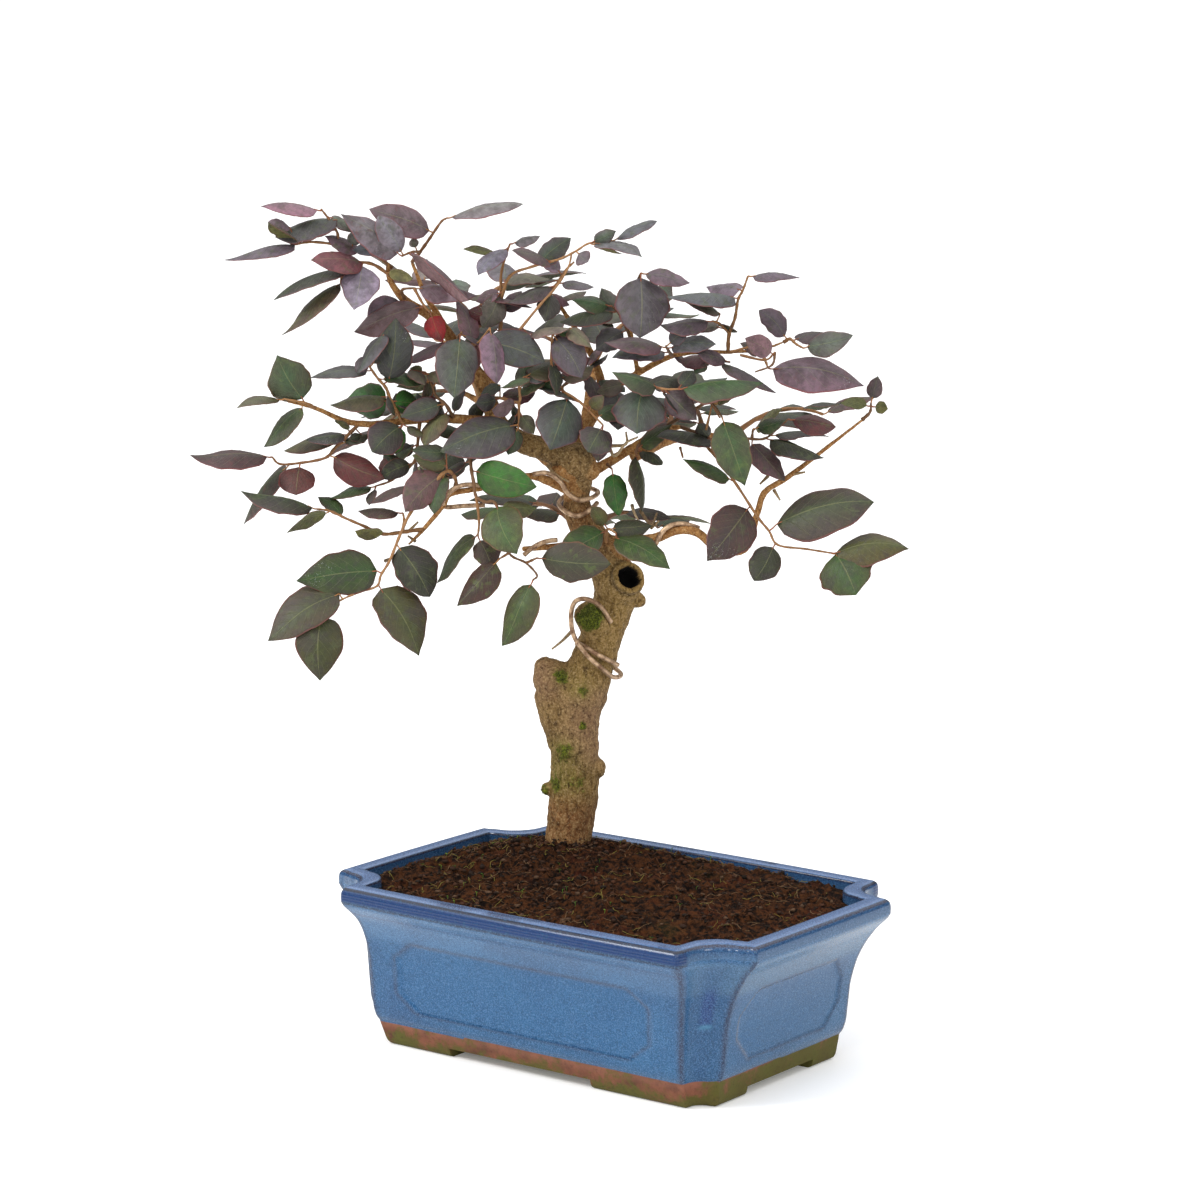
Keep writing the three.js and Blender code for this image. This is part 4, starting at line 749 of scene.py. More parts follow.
golden = (1 + math.sqrt(5)) / 2
crumb_corners = np.array([(-1, golden, 0), (1, golden, 0), (-1, -golden, 0), (1, -golden, 0),
                          (0, -1, golden), (0, 1, golden), (0, -1, -golden), (0, 1, -golden),
                          (golden, 0, -1), (golden, 0, 1), (-golden, 0, -1), (-golden, 0, 1)]) / 1.9
crumb_faces = [(0, 11, 5), (0, 5, 1), (0, 1, 7), (0, 7, 10), (0, 10, 11), (1, 5, 9), (5, 11, 4),
               (11, 10, 2), (10, 7, 6), (7, 1, 8), (3, 9, 4), (3, 4, 2), (3, 2, 6), (3, 6, 8),
               (3, 8, 9), (4, 9, 5), (2, 4, 11), (6, 2, 10), (8, 6, 7), (9, 8, 1)]


def crumb(heap, middle, size, tone):
    """A small uneven grain, of the twenty faces of an icosahedron"""
    corners = crumb_corners * [[random.uniform(0.7, 1.25)] for k in crumb_corners]
    corners = corners * [random.uniform(0.7, 1.3), random.uniform(0.7, 1.3), random.uniform(0.5, 0.9)]
    x, y, z = corners.T
    turn = random.uniform(0, 6.28)
    spun = np.column_stack([x * math.cos(turn) - y * math.sin(turn),
                            x * math.sin(turn) + y * math.cos(turn), z])
    heap.add(np.array(middle) + spun * size, crumb_faces, tone=tone)


crumbs = Heap()
for k in range(crumb_count):
    px, py, pz = spot_on_soil()
    size = random.choice(crumb_sizes)
    crumb(crumbs, (px, py, pz + 0.1 * size), size, random.choice(crumb_tones))
for k in range(foot_crumb_count):
    turn = random.uniform(0, 2 * math.pi)
    reach = random.uniform(10.5, 17)
    px, py = trunk_foot[0] + math.cos(turn) * reach * 1.05, trunk_foot[1] + math.sin(turn) * reach
    pz = ground_height(px, py) + random.uniform(0, 3.2) * eased(15 - reach, 0, 5)
    crumb(crumbs, (px, py, pz), random.uniform(0.4, 1.3), random.choice(crumb_tones))
for k in range(fibre_count):
    px, py, pz = spot_on_soil()
    heading = random.uniform(0, 6.28)
    bend = random.uniform(-0.9, 0.9)
    length = random.uniform(3, 11)
    path = []
    for t in (-0.5, -0.25, 0, 0.25, 0.5):
        turn = heading + bend * t
        x, y = px + math.cos(turn) * t * length, py + math.sin(turn) * t * length
        path.append((x, y, ground_height(x, y) + 0.25 + random.uniform(0, 0.7)))
    tone = random.choice(fibre_tones)
    tube(crumbs, path, random.uniform(0.08, 0.17), 4, tone=tone)
for k in range(seedling_count):
    px, py, pz = spot_on_soil()
    tone = random.choice(seedling_tones)
    tall = random.uniform(0.8, 2.6)
    tube(crumbs, [(px, py, pz - 0.3), (px + 0.2, py, pz + tall)], 0.16, 4, tone=tone)
    root = np.array([px + 0.2, py, pz + tall])
    for leaf in range(random.choice((2, 2, 3, 4))):
        turn = random.uniform(0, 6.28)
        long = random.uniform(0.9, 1.9)
        out = np.array([math.cos(turn), math.sin(turn), 0.25]) * long
        side = np.array([-math.sin(turn), math.cos(turn), 0]) * long * 0.3
        middle = root + out * 0.5
        blade = [root, middle + side, root + out, middle - side, middle - (0, 0, 0.15)]
        crumbs.add(blade, [(0, 3, 2, 1), (0, 1, 4), (1, 2, 4), (2, 3, 4), (3, 0, 4)], tone=tone)

peat = Finish("fibrous_peat", Roughness=0.95, Specular_IOR_Level=0.1)
lumps = peat.cloud(240, 5, 0.7)
brown = peat.layered(
    peat.mix(lumps.between(0.4, 0.62), "100704", "4c2c16"),
    (peat.cloud(55, 3, 0.6).between(0.55, 0.7) * 0.45, "522514"),
    # Near-black pits among the grains are painted shade.
    (peat.cells(700).between(0.0, 0.25) * -0.6 + 0.6, "0c0705"),
    (peat.cloud(30, 3, 0.6).between(0.6, 0.72) * 0.1, "3c4818"))
peat.set(Base_Color=brown, Normal=peat.bump(lumps + peat.cloud(700, 3, 0.7) * 0.5, 0.004, 1.0))
soil.data.materials.append(peat.material)
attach(soil, "root")
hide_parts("soil")

grain = Finish("crumb_and_straw", Roughness=0.9, Specular_IOR_Level=0.15)
mottle = grain.cloud(800, 3, 0.6)
damp = (0.02, 0.012, 0.008, 1)
shade = grain.mix(mottle.between(0.3, 0.7) * 0.55, grain.attribute("tone", "Color"), damp)
grain.set(Base_Color=shade, Normal=grain.bump(mottle, 0.0005, 0.7))
loose = crumbs.piece("soil_crumbs", grain)
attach(loose, "root")

# TRUNK AND BRANCHES. Old grey-brown bark with swollen burls, a rotted-out stub, moss on a side stub
# and paler, smoother branches. The limbs are grown into one skin, which is then given its bark.
# Each limb has sighted points, [x, y, how much nearer than the trunk's foot], and a radius at each.
limbs = {
    "trunk": (
        [[566, 872, 0], [568, 846, 0], [570, 826, 0], [574, 792, 0], [575, 752, 1], [575, 718, 1],
         [579, 692, 1], [592, 664, 0], [601, 636, 0], [611, 610, 0], [616, 586, 1], [607, 560, 2],
         [592, 538, 2], [579, 514, 1], [577, 494, 0], [578, 478, 0], [572, 462, 0], [552, 450, 2]],
        [10, 12.4, 12.6, 13, 12.6, 12.8, 15.5, 11.6, 11, 10.8, 12, 10.6, 8.6, 7.6, 6.8, 8, 10, 7]),
    "leader": (
        [[552, 450, 2], [525, 443, 3], [502, 428, 2], [488, 400, 0], [478, 375, -2], [460, 350, -2],
         [435, 320, 0], [405, 300, 2], [390, 280, 3], [388, 262, 4]],
        [7, 5.8, 4.9, 4.3, 3.8, 3.4, 3, 2.5, 2, 1.5]),
    "crest_fork": (
        [[448, 334, -1], [436, 312, -6], [425, 295, -10], [412, 262, -14]],
        [2.6, 2.1, 1.8, 1.4]),
    "left_branch": (
        [[502, 428, 2], [471, 420, 6], [430, 419, 10], [359, 424, 16], [315, 408, 18], [283, 400, 20]],
        [4, 3, 2.5, 2.1, 1.6, 1.2]),
    "right_branch": (
        [[577, 470, 0], [600, 467, -2], [643, 441, -6], [662, 429, -8], [681, 427, -8]],
        [6, 3, 2.4, 2.1, 1.8]),
    "wired_branch": (
        [[577, 492, 0], [558, 485, 6], [532, 476, 16], [505, 482, 18], [482, 488, 20], [450, 494, 24],
         [443, 506, 25], [422, 531, 28], [408, 545, 30]],
        [4.4, 3, 2.3, 2.1, 2, 2, 1.9, 1.6, 1]),
    "left_stub": (
        [[594, 542, 0], [560, 546, 10], [522, 549, 16]],
        [3.6, 2.2, 1.8]),
    "low_right_branch": (
        [[600, 545, 0], [632, 542, 4], [656, 538, 8], [678, 530, 12], [698, 533, 14], [718, 549, 14],
         [745, 549, 12], [757, 514, 8], [765, 492, 6], [788, 477, 4], [825, 449, 0], [870, 414, -6]],
        [5.4, 3.4, 2.9, 2.7, 2.6, 2.5, 2.3, 2.2, 2.1, 1.9, 1.6, 1.1]),
    "middle_limb": (
        [[568, 458, -4], [588, 424, -16], [602, 394, -20], [594, 360, -18], [576, 330, -14],
         [556, 300, -10]],
        [5, 3.4, 2.8, 2.4, 1.9, 1.4]),
    "top_right_limb": (
        [[601, 396, -20], [640, 372, -17], [672, 356, -13], [702, 352, -9], [729, 352, -6],
         [760, 350, -4], [784, 342, -2]],
        [2.5, 2.1, 1.9, 1.7, 1.5, 1.3, 1]),
    "upward_fork": (
        [[638, 373, -17], [632, 340, -10], [630, 305, -3], [641, 276, 3]],
        [1.8, 1.5, 1.3, 1]),
    "burl_root": (
        [[567, 742, 0], [558, 712, 1], [552, 690, 2]],
        [10, 10.4, 10]),
    "moss_stub": (
        [[604, 640, 0], [595, 622, 8], [585, 610, 13]],
        [10, 9, 7.5]),
}
# Those that the crown hides: each point is mm to the right of the trunk's foot, nearer, and up.
back_limbs = {
    "back_left": [[0, 0, 288], [-22, -26, 302], [-44, -54, 318], [-58, -84, 322]],
    "back_high": [[-40, -2, 332], [-42, -28, 352], [-50, -54, 368]],
    "back_middle": [[6, -6, 290], [10, -34, 318], [14, -62, 342]],
    "back_right": [[34, -5, 298], [58, -34, 304], [88, -60, 300]],
    "back_low": [[12, 0, 258], [16, -28, 256], [4, -58, 252]],
}
back_radii = [3.6, 2.8, 2.2, 1.4]
# Each burl's middle, radius and squash.
burls = [([553, 680, 2], 10.8, (1, 0.95, 1.05)), ([574, 463, 2], 11, (1.1, 1, 1)),
         ([596, 768, 2], 5.4, (1, 1, 1.1)), ([569, 752, 8.6], 5.2, (1, 1, 1)),
         ([570, 753, 12], 2.6, (1, 1, 1)), ([548, 789, 2], 3.6, (1, 1, 1)),
         ([618, 626, 8], 3, (1, 1, 1)), ([586, 702, 9], 4.6, (1, 1, 1.3)),
         ([558, 474, 6], 4.6, (1, 1, 1)), ([592, 472, 5], 4.4, (1, 1, 1)),
         ([570, 452, 7], 5, (1.4, 1, 0.7)), ([638, 600, 4], 4, (1, 1, 1)),
         ([545, 668, 2], 6, (1, 1, 1)), ([586, 656, 4], 5, (1, 1, 1))]
stub_from = [616, 590, 2]
stub_to = [629, 577, 15]
stub_radii = (11.4, 9.4)
hole_radius = 6.1
hole_depth = 9
skin_step = 0.8
knotty = (268, 455)
bark_colour = "7d6138"
bark_tones = {"clay": "784a27", "rust": "643d22", "algae": "646022", "olive": "725a2d",
              "mauve": "82624a", "tan": "816837", "moss": "434310", "brown": "664e2e"}
# What tints the bark: a sighted place, how far round it in mm, and the tone there.
bark_tints = [
    ([568, 835, 12], 16, "clay"), ([560, 812, 12], 9, "clay"), ([590, 822, 10], 9, "rust"),
    ([560, 782, 12], 10, "algae"), ([585, 785, 12], 9, "olive"), ([566, 752, 13], 8, "algae"),
    ([590, 745, 12], 10, "mauve"), ([575, 718, 13], 11, "mauve"), ([560, 715, 12], 7, "tan"),
    ([592, 705, 12], 8, "mauve"), ([544, 682, 10], 8, "mauve"), ([540, 672, 8], 5, "mauve"),
    ([561, 676, 12], 5, "moss"), ([580, 690, 14], 6, "algae"), ([575, 672, 14], 7, "tan"),
    ([600, 668, 12], 8, "tan"), ([606, 640, 12], 8, "tan"), ([590, 635, 14], 7, "olive"),
    ([618, 612, 12], 8, "tan"), ([590, 616, 18], 7, "moss"), ([632, 600, 14], 6, "tan"),
    ([625, 580, 16], 9, "tan"), ([604, 570, 14], 8, "olive"), ([600, 545, 10], 9, "rust"),
    ([580, 515, 8], 9, "clay"), ([577, 490, 8], 9, "brown"), ([574, 463, 12], 13, "brown"),
]
moss_spots = [([588, 616, 18], 8, 1.0), ([561, 676, 12], 4.5, 0.7), ([563, 752, 13], 6, 0.55),
              ([552, 785, 10], 6, 0.6), ([577, 783, 13], 7, 0.4), ([583, 692, 14], 4, 0.5),
              ([583, 726, 13], 2.4, 0.8), ([545, 790, 4], 3, 0.6)]


def sighted(point):
    x, y, nearer = point
    ray = (away + rightward * (x - view_steps / 2) / focal_steps
           + upward * (view_steps / 2 - y) / focal_steps)
    return eye + ray * (((trunk_foot - eye) @ nearward + nearer) / (ray @ nearward))


def hidden(point):
    across, nearer, height = point
    return np.array([trunk_foot[0], trunk_foot[1], height]) + rightward * across + nearward * nearer


def smooth_path(points, steps):
    """Points on a smooth curve through the given ones, with steps to each stretch"""
    points = [np.asarray(p, float) for p in points]
    padded = [2 * points[0] - points[1], *points, 2 * points[-1] - points[-2]]
    path = []
    for i in range(len(points) - 1):
        p0, p1, p2, p3 = padded[i:i + 4]
        for k in range(steps):
            t = k / steps
            path.append(0.5 * (2 * p1 + (p2 - p0) * t + (2 * p0 - 5 * p1 + 4 * p2 - p3) * t * t
                               + (3 * p1 - p0 - 3 * p2 + p3) * t ** 3))
    path.append(points[-1])
    return np.array(path)


def seen_path(points, steps):
    return smooth_path([sighted(p) for p in points], steps)


wood = Heap()
core_points = []
core_radii = []


def grow(path, radii, sides):
    """A limb, which the bark will find again by its middle line and its girth"""
    tube(wood, path, radii, sides)
    core_points.extend(path)
    core_radii.extend(radii)


for name, (points, radii) in limbs.items():
    path = seen_path(points, 6)
    radii = np.interp(np.arange(len(path)) / 6, np.arange(len(radii)), radii)
    if name == "trunk":
        path[0][2] -= 5
    grow(path, radii * np.interp(radii, [1.6, 3.4], [0.8, 1]), 20)
for points in back_limbs.values():
    path = smooth_path([hidden(p) for p in points], 6)
    grow(path, np.interp(np.arange(len(path)) / 6, np.arange(len(points)), back_radii[:len(points)]),
         12)
stub_face = sighted(stub_to)
grow(np.linspace(sighted(stub_from), stub_face, 8), np.linspace(*stub_radii, 8), 24)

bpy.ops.object.select_all(action="DESELECT")
bpy.ops.mesh.primitive_ico_sphere_add(subdivisions=3, radius=1)
ball = bpy.context.object
ball_points = np.array([tuple(vertex.co) for vertex in ball.data.vertices])
ball_faces = [tuple(p.vertices) for p in ball.data.polygons]
bpy.data.objects.remove(ball, do_unlink=True)
for place, radius, squash in burls:
    if radius > 10:
        core_points.append(sighted(place))
        core_radii.append(radius)
    wood.add(sighted(place) + ball_points * radius * np.array(squash), ball_faces)
trunk = wood.piece("trunk_bark")
apply_modifier(trunk, "skin", "REMESH", mode="VOXEL", voxel_size=skin_step / 1000,
               use_smooth_shade=True)
apply_modifier(trunk, "settle", "SMOOTH", factor=0.5, iterations=8)

core = tree_of(core_points)
bark_points = points_of(trunk)
normals = np.empty(len(bark_points) * 3)
trunk.data.vertices.foreach_get("normal", normals)
normals = normals.reshape(-1, 3)
stub_axis = unit(stub_face - sighted(stub_from))
tint_places = np.array([sighted(place) for place, reach, tone in bark_tints])
tint_reaches = np.array([reach for place, reach, tone in bark_tints])
tint_colours = np.array([paint(bark_tones[tone])[:3] for place, reach, tone in bark_tints])
plain_tint = np.array(paint(bark_colour)[:3])
girth = np.empty(len(bark_points))
hole = np.zeros(len(bark_points))
moss = np.zeros(len(bark_points))
tints = np.empty((len(bark_points), 3))
for i, point in enumerate(bark_points):
    girth[i] = core_radii[core.find(point)[1]]
    spot = Vector(point)
    share = np.exp(-(np.linalg.norm(tint_places - point, axis=1) / tint_reaches) ** 2)
    share *= 1 + 0.5 * noise.noise(spot / 5)
    tints[i] = (plain_tint * 0.25 + share @ tint_colours) / (0.25 + share.sum())
    for middle, reach, amount in moss_spots:
        gap = np.linalg.norm(point - sighted(middle)) / reach
        if gap < 1.6:
            moss[i] = max(moss[i], amount * max(0, 1 - gap * gap * 0.6 + 0.5 * noise.noise(spot / 2)))
    rough = min(1.0, girth[i] / 10)
    knurl = 1.6 if knotty[0] < point[2] < knotty[1] else 1.0
    push = rough * (0.55 * noise.fractal(spot / 7, 0.8, 2.0, 3) + 0.22 * noise.noise(spot / 1.6)
                    + 0.12 * noise.noise(spot / 0.9)) * knurl
    push += 0.15 * rough * math.sin(point[2] / 1.1 + 3 * noise.noise(spot / 6)) * (knurl - 1)
    push += 0.5 * moss[i] * (0.5 + noise.noise(spot / 1.1))
    flat = point - stub_face
    deep = flat @ stub_axis
    off = np.linalg.norm(flat - stub_axis * deep)
    bound = hole_radius * (1 + 0.16 * noise.noise(spot / 4) + 0.08 * noise.noise(spot / 1.5))
    if off < 11 and deep > -4:
        inside = off / bound
        # Inside the rotted hole the bark is painted nearly black, as painted shade.
        hole[i] = eased(1.08 - inside, 0, 0.16)
        sink = hole_depth * (1 - inside ** 6) if inside < 1 else 0
        ring = 1.1 * math.exp(-((off - 7.6) / 1.1) ** 2) - 0.9 * math.exp(-((off - 9.8) / 0.7) ** 2)
        bark_points[i] = point - stub_axis * sink + normals[i] * (push * 0.6 + ring)
        # Round the hole the bark is lighter on the raised ring, and darker in the groove beyond it as
        # painted shade.
        tints[i] *= (1 + 0.35 * math.exp(-(off - 7.4) ** 2)
                     - 0.6 * math.exp(-((off - 9.5) / 0.8) ** 2))
    else:
        bark_points[i] = point + normals[i] * push
trunk.data.vertices.foreach_set("co", to_metres(bark_points).ravel())
trunk.data.update()
give(trunk, girth=girth, hole=hole, moss=moss, tint=tints)

bark = Finish("old_bark", Specular_IOR_Level=0.2)
old = bark.attribute("girth").between(2.4, 6.5)
patch = bark.cloud(90, 4, 0.65)
grain = bark.cloud(900, 3, 0.7)
flake = bark.cloud(420, 4, 0.7, vector=bark.stretched((1, 1, 0.5)), distortion=0.4)
crack = bark.cells(170, "DISTANCE_TO_EDGE", vector=bark.stretched((1, 1, 0.45))).between(0.0, 0.06)
aged = bark.layered(
    bark.attribute("tint", "Color"),
    (flake.between(0.4, 0.66) * 0.55, "9b7f56"),
    (patch.between(0.52, 0.7) * 0.35, "564725"),
    ((1 - flake.between(0.32, 0.48)) * 0.75, "3b2917"))
skin = bark.layered(
    bark.mix(old, bark.mix(flake.between(0.35, 0.65), "7f532b", "a67a49"), aged),
    (grain.between(0.52, 0.68) * 0.5, "bca277"),
    ((1 - grain.between(0.34, 0.47)) * 0.6, "281b0e"),
    ((1 - crack) * old * 0.22, "302314"),
    ((bark.attribute("moss") + (grain - 0.5) * 0.8).between(0.25, 0.6),
     bark.mix(grain.between(0.4, 0.65), "2b3208", "727823")),
    # The inside of the hole, painted nearly black as shade.
    (bark.attribute("hole").between(0.2, 0.8), "050302"))
bark_height = flake * 0.6 + grain * 0.35 + crack * 0.25 * old
bark.set(Base_Color=skin, Roughness=0.72 + flake * 0.25, Normal=bark.bump(bark_height, 0.0009, 0.8))
trunk.data.materials.append(bark.material)
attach(trunk, "root")
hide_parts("trunk")

# MOSS AND BARE TWIGS. Short upright threads of moss on the damp side of the bark, and the dry stubs
# of old twigs that were cut or died back.
bare_twigs = [
    [[571, 632, 8], [562, 641, 12], [552, 649, 15]], [[548, 466, 8], [555, 474, 13], [569, 482, 15]],
    [[640, 510, 4], [651, 525, 8], [657, 513, 11]], [[651, 528, 6], [659, 521, 10]],
    [[632, 505, 6], [634, 512, 10], [638, 520, 12]],
    [[606, 434, 4], [614, 456, 9], [626, 443, 13], [638, 437, 15]],
    [[611, 446, 7], [626, 444, 11], [626, 432, 14]], [[790, 475, 3], [805, 472, 6]],
    [[768, 476, 3], [760, 484, 8]], [[774, 490, 3], [780, 500, 8]], [[713, 405, 4], [732, 398, 9]],
    [[415, 541, 3], [408, 536, 8]], [[408, 532, 4], [418, 522, 8]], [[385, 561, 3], [397, 556, 8]]
]
moss_threads = 1500
moss_tones = ([0.05, 0.07, 0.01], [0.12, 0.16, 0.025], [0.2, 0.22, 0.05])
dry_tones = ([0.3, 0.2, 0.1], [0.2, 0.13, 0.07], [0.36, 0.26, 0.15])
rng = random.Random(31)
tufts = Heap()
mossy_points = np.flatnonzero(moss > 0.35)
for k in range(moss_threads):
    i = rng.choice(mossy_points)
    lean = unit(normals[i] + [rng.uniform(-0.6, 0.6), rng.uniform(-0.6, 0.6), rng.uniform(-0.1, 0.9)])
    long = rng.uniform(0.7, 2.0) * (0.5 + moss[i])
    side = unit(np.cross(lean, normals[i] + (0.1, 0.2, 0.3))) * rng.uniform(0.1, 0.2)
    other = np.cross(lean, side)
    root = bark_points[i] - normals[i] * 0.3
    tufts.add([root + side, root - side * 0.5 + other, root - side * 0.5 - other, root + lean * long],
              [(0, 2, 1), (0, 1, 3), (1, 2, 3), (2, 0, 3)], tone=rng.choice(moss_tones))
for points in bare_twigs:
    path = seen_path(points, 5)
    tube(tufts, path, np.linspace(1.0, 0.5, len(path)), 7, tone=rng.choice(dry_tones))
dry = Finish("moss_and_dry_twig", Roughness=0.85, Specular_IOR_Level=0.2)
dry_spot = dry.cloud(700, 3, 0.6)
dark_spot = (0.03, 0.025, 0.012, 1)
shade = dry.mix(dry_spot.between(0.35, 0.7) * 0.5, dry.attribute("tone", "Color"), dark_spot)
dry.set(Base_Color=shade, Normal=dry.bump(dry_spot, 0.0004, 0.7))
threads = tufts.piece("moss_and_dead_twigs", dry)
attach(threads, "root")

# TRAINING WIRES. Soft copper-coloured wire, 2.5 mm thick, wound by hand round the trunk and the
# branches that it has bent. Each is one round rod, closed at its ends.
wires = {
    "wire_loop": [[611, 622, 13], [600, 606, 18], [586, 599, 21], [575, 602, 21], [571, 616, 18],
                  [574, 636, 15], [586, 654, 15], [600, 667, 15], [613, 677, 7], [621, 674, -6],
                  [606, 662, -16], [588, 652, -15], [577, 645, -4], [582, 645, 10], [600, 656, 15],
                  [618, 665, 7]],
    "wire_upper": [[533, 474, 20.5], [547, 473, 17.5], [560, 481, 13], [567, 492, 11], [578, 500, 11],
                   [591, 498, 7], [598, 492, -3], [586, 488, -11], [568, 494, -10], [559, 503, -2],
                   [565, 511, 8], [578, 516, 11], [591, 509, 8], [597, 503, 0]],
    "wire_left": [[482, 485, 23.4], [464, 485, 26], [452, 490, 28], [443, 501, 28], [446, 507, 22],
                  [463, 506, 18], [485, 505, 17]],
    "wire_stub": [[524, 555, 16.8], [531, 549, 17.6], [539, 544, 16], [548, 541, 13.7],
                  [557, 540, 11.8]],
    "wire_right": [[656, 544, 12.6], [662, 532, 14], [672, 525, 14], [685, 524, 13], [699, 528, 11]],
}
wire_radius = 1.25
copper = Finish("dull_copper", Metallic=0.6, Specular_IOR_Level=0.3)
tarnish = copper.cloud(260, 4, 0.65)
copper.set(Base_Color=copper.mix(tarnish.between(0.35, 0.65), "c6a888", "7d5f48"),
           Roughness=0.34 + tarnish * 0.3, Normal=copper.bump(tarnish, 0.0002, 0.5))
for name, points in wires.items():
    coil = Heap()
    tube(coil, seen_path(points, 8), wire_radius, 12)
    wire = coil.piece(name + "_copper", copper)
    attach(wire, "root")
    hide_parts(name)

# LEAFY SPRAYS. Thin orange-brown twigs with leathery leaves on short stalks: dark slate green above
# with a pale midrib, paler below, the young ones green or maroon. Each spray is one piece.
leaf_kinds = {
    "slate": ("3a4a38", "4b4046", "5c6450"), "plum": ("46383c", "5c3844", "745058"),
    "green": ("34582a", "464a2e", "5c7044"), "olive": ("565a32", "5e4e38", "747246"),
    "maroon": ("5e2a2c", "66242e", "863e3c"), "mauve": ("665058", "7a5464", "8a6a74"),
    "bright": ("266c16", "2e621e", "4e8030"), "red": ("96141e", "a81c28", "b04040"),
    # The pale blue-grey kind is for leaves facing the sky: a painted reflection of it.
    "dark": ("2c3620", "34302a", "4a5236"), "steel": ("5f6a74", "68646e", "6a6a6c"),
}
# The pale grey-lilac of a painted sky sheen on the high leaves.
top_sheen_tone = "7c7684"
green_sprays = ("green_hang", "left_hang", "bright", "front_low", "left_end", "low_centre")
maroon_sprays = ("left_maroon", "inner_left", "crest", "side_right")
